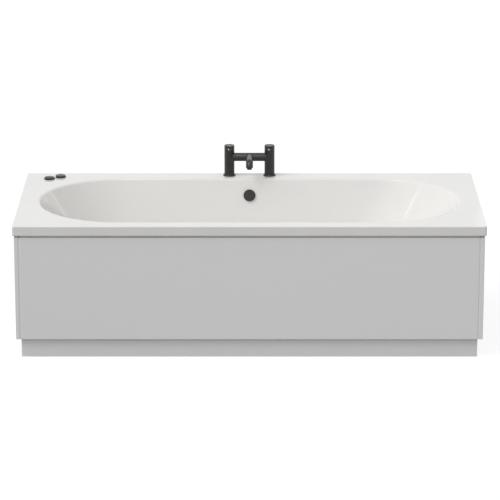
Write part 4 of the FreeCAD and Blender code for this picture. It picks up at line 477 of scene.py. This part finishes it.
def socket_head(radius):
    """A cylinder with a softened rim; its top drops into a six-sided socket."""
    angle = np.arange(HEAD_COLUMNS) * 2 * np.pi / HEAD_COLUMNS
    six = 1 / np.cos((angle + np.pi / 6) % (np.pi / 3) - np.pi / 6)
    whole = np.ones(HEAD_COLUMNS)
    reach = np.stack([whole, whole, SOFT_RIM * whole, SOCKET * six, SOCKET * six]) * radius
    return turned(reach, radius * np.array(SOCKET_LEVELS), HEAD_COLUMNS)


turn = (np.arange(FLANGE_SCREWS) + 0.5) * 2 * np.pi / FLANGE_SCREWS
spots = np.stack([MOTOR_X + SCREW_CIRCLE * np.cos(turn), np.full(FLANGE_SCREWS, FLANGE_Y),
                  MOTOR_Z + SCREW_CIRCLE * np.sin(turn)], axis=1)
piece_of_rings("motor_screws", copied(socket_head(2.6), spots, [REARWARD] * FLANGE_SCREWS),
               "zinc_steel", smooth=False)

# %% [markdown]
# ## Lid and end caps
# The control box is closed by a lid that stands a little proud, and the open tube ends of the
# frame rails are shut by plastic caps. Both are soft-cornered plates: a superellipse, whose power
# says how square it is, with its edge rolled over.

# %% Control box lid and rail caps
PLATE_COLUMNS = 72
ROLL_IN, ROLL_UP = (0, 0, 0.12, 0.4, 1.0), (0, 0.5, 0.8, 0.94, 1.0)
BOX_X, BOX_FACE_Y, BOX_Z, LID_FACE_Y = -805, 335.5, 227.5, 337.0
LID_SCREW_SIDE, LID_SCREW_Z = 39, (181, 274)
RAIL_END_X, RAIL_Z = 843, 102


def plate(wide, high, thick, power):
    """Superellipse |a|^power + |b|^power = 1, wide by high, its edge rounded over the thickness."""
    angle = np.arange(PLATE_COLUMNS) * 2 * np.pi / PLATE_COLUMNS
    a, b = np.cos(angle), np.sin(angle)
    outline = np.stack([np.sign(a) * np.abs(a) ** (2 / power) * wide / 2,
                        np.sign(b) * np.abs(b) ** (2 / power) * high / 2], axis=-1)
    inset, level = np.array(ROLL_IN) * thick, np.array(ROLL_UP) * thick
    shrink = 1 - inset[:, None, None] * 2 / np.array([wide, high])
    levels = np.broadcast_to(level[:, None, None], (len(level), PLATE_COLUMNS, 1))
    return np.concatenate([outline * shrink, levels], axis=-1)


lid = plate(wide=92, high=107, thick=1.8, power=14)
piece_of_rings("control_box_lid", copied(lid, [(BOX_X, BOX_FACE_Y, BOX_Z)], [REARWARD]),
               "white_fitting_plastic")
spots = [(BOX_X + side, LID_FACE_Y, z) for side in (-LID_SCREW_SIDE, LID_SCREW_SIDE)
         for z in LID_SCREW_Z]
piece_of_rings("lid_screws", copied(pan_head(3.4), spots, [REARWARD] * 4), "zinc_steel")
ends = [(RAIL_END_X * end, y, RAIL_Z) for end in (-1, 1) for y in RAIL_Y]
ways = [(end, 0, 0) for end in (-1, 1) for _ in RAIL_Y]
cap = plate(wide=29.6, high=29.6, thick=4, power=10)
piece_of_rings("rail_caps", copied(cap, ends, ways), "foot_plastic")

# %% [markdown]
# ## Welds
# Cross bars and uprights are welded to the rails before the frame is plated. A weld is laid down
# in drops, so the bead is a rod whose radius swells every 2.6 mm and dies away at both ends.

# %% Weld beads on the frame
BEAD_RADIUS, BEAD_SWELL, DROP, BEAD_ROWS, BEAD_COLUMNS = 2.0, 0.1, 2.6, 45, 10
BAR_X, BAR_END_Y, UPRIGHT_X = (-828, -500, -180, 180, 500, 828), (-272.5, 249.5), (-828, 828)
TUBE_HALF, BEAD_HALF = 15, 14
BAR_FOOT_Z, BAR_SIDE_Z, RAIL_TOP_Z = 87, 88, 117


def bead(length):
    """A rod that swells with every drop of its height and falls to nothing at both ends."""
    height = np.linspace(0.02, 0.98, BEAD_ROWS) * length
    swell = 1 + BEAD_SWELL * np.sin(2 * np.pi * height / DROP)
    fade = (1 - np.abs(2 * height / length - 1) ** 8) ** 0.5
    return turned(BEAD_RADIUS * swell * fade, height, BEAD_COLUMNS)


spots, axes = [], []
for x in BAR_X:
    for y in BAR_END_Y:
        spots += [(x - TUBE_HALF, y, BAR_SIDE_Z), (x + TUBE_HALF, y, BAR_SIDE_Z),
                  (x - BEAD_HALF, y, BAR_FOOT_Z)]
        axes += [UP, UP, RIGHTWARD]
for x in UPRIGHT_X:
    for y in RAIL_Y:
        spots += [(x - BEAD_HALF, y - TUBE_HALF, RAIL_TOP_Z),
                  (x - BEAD_HALF, y + TUBE_HALF, RAIL_TOP_Z)]
        axes += [RIGHTWARD] * 2
piece_of_rings("weld_beads", copied(bead(2 * BEAD_HALF), spots, axes), "zinc_steel")

# %% [markdown]
# ## Aerator insert
# Water leaves the spout through a fine lattice that mixes air into it. Seen from below it is a
# disc of small pips, which a product of two cosines gives.

# %% Aerator lattice
LATTICE_RADIUS, LATTICE_BACK, LATTICE_COLUMNS = 6.2, -2.0, 36
PIP_HEIGHT, PIP_WAVES = 0.35, 5
SPOUT_MOUTH = (0, 261, 580)

share = np.linspace(1, 0.08, 14)[:, None]
angle = np.arange(LATTICE_COLUMNS) * 2 * np.pi / LATTICE_COLUMNS
across, along = share * np.cos(angle), share * np.sin(angle)
pips = PIP_HEIGHT * np.cos(PIP_WAVES * np.pi * across) * np.cos(PIP_WAVES * np.pi * along)
lattice = np.concatenate([turned([LATTICE_RADIUS], [LATTICE_BACK], LATTICE_COLUMNS),
                          turned(LATTICE_RADIUS * share, pips, LATTICE_COLUMNS)])
piece_of_rings("aerator_lattice", copied(lattice, [SPOUT_MOUTH], [DOWN]), "black_plastic")

# %% [markdown]
# ## The set
# A catalogue picture of a bath is lit like an overcast day: light falls from above and a little
# from the left, so the rim is the brightest face and the front stands in its own soft shade.
# A sky lights the room evenly. The floor shows white to the camera and to reflections while it
# throws back only a little light, so the shade stays.

# %% Floor and sky
FLOOR_REACH, FLOOR_TONE, FLOOR_GLOW = 16.0, "#848484", 0.825
SKY_LEVEL, SKY_SHOWN = 0.5, 1.0

floor_mesh = bpy.data.meshes.new("studio_floor")
corners = [(x * FLOOR_REACH, y * FLOOR_REACH, 0) for x, y in ((-1, -1), (1, -1), (1, 1), (-1, 1))]
floor_mesh.from_pydata(corners, [], [(0, 1, 2, 3)])
floor = bpy.data.objects.new("studio_floor", floor_mesh)
scene.collection.objects.link(floor)


def shown(stage_finish):
    """1 for rays from the camera, from a reflection or through glass, 0 for rays of light."""
    path = add(stage_finish, "LightPath").outputs
    seen = add(stage_finish, "Math", {0: path["Is Camera Ray"], 1: path["Is Glossy Ray"]},
               operation="MAXIMUM").outputs[0]
    return add(stage_finish, "Math", {0: seen, 1: path["Is Transmission Ray"]},
               operation="MAXIMUM").outputs[0]


paper, shader, _ = begin("white_paper_floor", {"Roughness": 0.9, "Base Color": linear(FLOOR_TONE),
                                               "Emission Color": (1, 1, 1, 1)})
glow = add(paper, "MapRange", {"Value": shown(paper)}, {"To Min": 0.0, "To Max": FLOOR_GLOW})
join(shader, {"Emission Strength": glow.outputs[0]})
floor_mesh.materials.append(paper)

scene.world = bpy.data.worlds.new("overcast")
scene.world.use_nodes = True
sky = scene.world.node_tree.nodes["Background"]
sky.inputs["Color"].default_value = (1, 1, 1, 1)
level = add(scene.world, "MapRange", {"Value": shown(scene.world)},
            {"To Min": SKY_LEVEL, "To Max": SKY_SHOWN})
join(sky, {"Strength": level.outputs[0]})
print("sky level:", SKY_LEVEL)

# %% [markdown]
# ## Key light and softbox
# A wide sun leans on the sky from the left and shapes the round ends of the well. A softbox in
# front, about 30 degrees up, draws the dark line under the panel. Both are hidden from
# reflections, which the next step makes with lamps of their own.

# %% Key light and softbox
def lamp(name, kind, stand, aim, energy, **settings):
    """A lamp at a stand, turned to face a point: its own minus Z runs along aim minus stand."""
    light = bpy.data.lights.new(name, kind)
    light.energy = energy
    for setting, value in settings.items():
        setattr(light, setting, value)
    holder = bpy.data.objects.new(name, light)
    scene.collection.objects.link(holder)
    holder.location = stand
    way = np.subtract(aim, stand)
    tilt = math.acos(-way[2] / np.linalg.norm(way))
    holder.rotation_euler = (tilt, 0, math.atan2(way[1], way[0]) - math.pi / 2)
    return holder


key = lamp("key_from_left", "SUN", stand=(-2.16, -1.2, 3.5), aim=(0, 0, 0.4), energy=1.39,
           angle=math.radians(40))
front = lamp("softbox_in_front", "AREA", stand=(-0.4, -6.0, 3.8), aim=(0, 0, 0.3), energy=30.0,
             shape="RECTANGLE", size=4.0, size_y=1.0)
for light in (key, front):
    light.visible_glossy = False
print("lamps that light:", key.name, front.name)

# %% [markdown]
# ## Glints
# Gloss is told by what it mirrors: a thin line down each round end of the well, a streak on its
# rear edge, a spark in the scoop of each handle. A lamp for each of these would also wash out the
# shade, so these lamps are switched off for diffuse light and show only as reflections. Black
# paint mirrors about one part in thirty, so its lamps are strong, and light linking keeps them
# off the acrylic.

# %% Lamps that only show as reflections
HANDLES = ("hot_handle", "cold_handle")
BRIDGE = ("tap_body", "tap_spout", "spout_aerator")
FILLER = (0, 0.36, 0.64)
GLINTS = {  # name: stand, aim, energy, width and height, the pieces that it is linked to
    "spark_in_scoops": ((1.4, -1.8, 3.3), FILLER, 245.0, (0.6, 2.2), HANDLES),
    "streak_on_spout": ((-0.9, -1.8, 3.3), FILLER, 75.0, (0.6, 2.2), BRIDGE),
    "streak_on_edge": ((-0.9, -1.8, 3.3), FILLER, 12.0, (0.6, 2.2), ()),
    "line_on_right_end": ((-2.65, -0.7, 2.3), (0.7, 0.2, 0.45), 0.4, (0.2, 0.2), ()),
    "line_on_left_end": ((3.1, 2.95, 1.9), (-0.72, 0.1, 0.45), 0.5, (0.45, 0.45), ()),
    "sheen_on_left_end": ((1.9, 2.9, 1.1), (-0.75, 0.05, 0.47), 1.8, (1.8, 1.3), ()),
}
for name, (stand, aim, energy, (width, height), lit) in GLINTS.items():
    glint = lamp(name, "AREA", stand, aim, energy, shape="RECTANGLE", size=width, size_y=height)
    glint.visible_diffuse = False
    glint.visible_camera = False
    if lit:
        glint.light_linking.receiver_collection = bpy.data.collections.new(name)
        for node in lit:
            glint.light_linking.receiver_collection.objects.link(frame["nodes"][node])
print("lamps that glint:", sorted(GLINTS))

# %% [markdown]
# ## The camera
# The photograph is taken from far away with a long lens, looking down by 16 degrees at the
# middle of the bath: the four corners of the rim fix the distance, the tilt and the lens.

# %% Camera
DISTANCE, TILT, AIM_Z, SIDE_STEP = 11.0065, math.radians(16.296), 0.3172, 2.2 * MM
LENS, SENSOR, FAR_CLIP = 200.99, 36.0, 100.0

camera = bpy.data.objects.new("catalogue_camera", bpy.data.cameras.new("catalogue_camera"))
scene.collection.objects.link(camera)
camera.data.lens = LENS
camera.data.sensor_width = SENSOR
camera.data.clip_end = FAR_CLIP
camera.location = (SIDE_STEP, -DISTANCE * math.cos(TILT), AIM_Z + DISTANCE * math.sin(TILT))
camera.rotation_euler = (math.pi / 2 - TILT, 0, 0)
scene.camera = camera
scene.view_settings.view_transform = "Standard"
print("camera at", [round(value, 3) for value in camera.location])
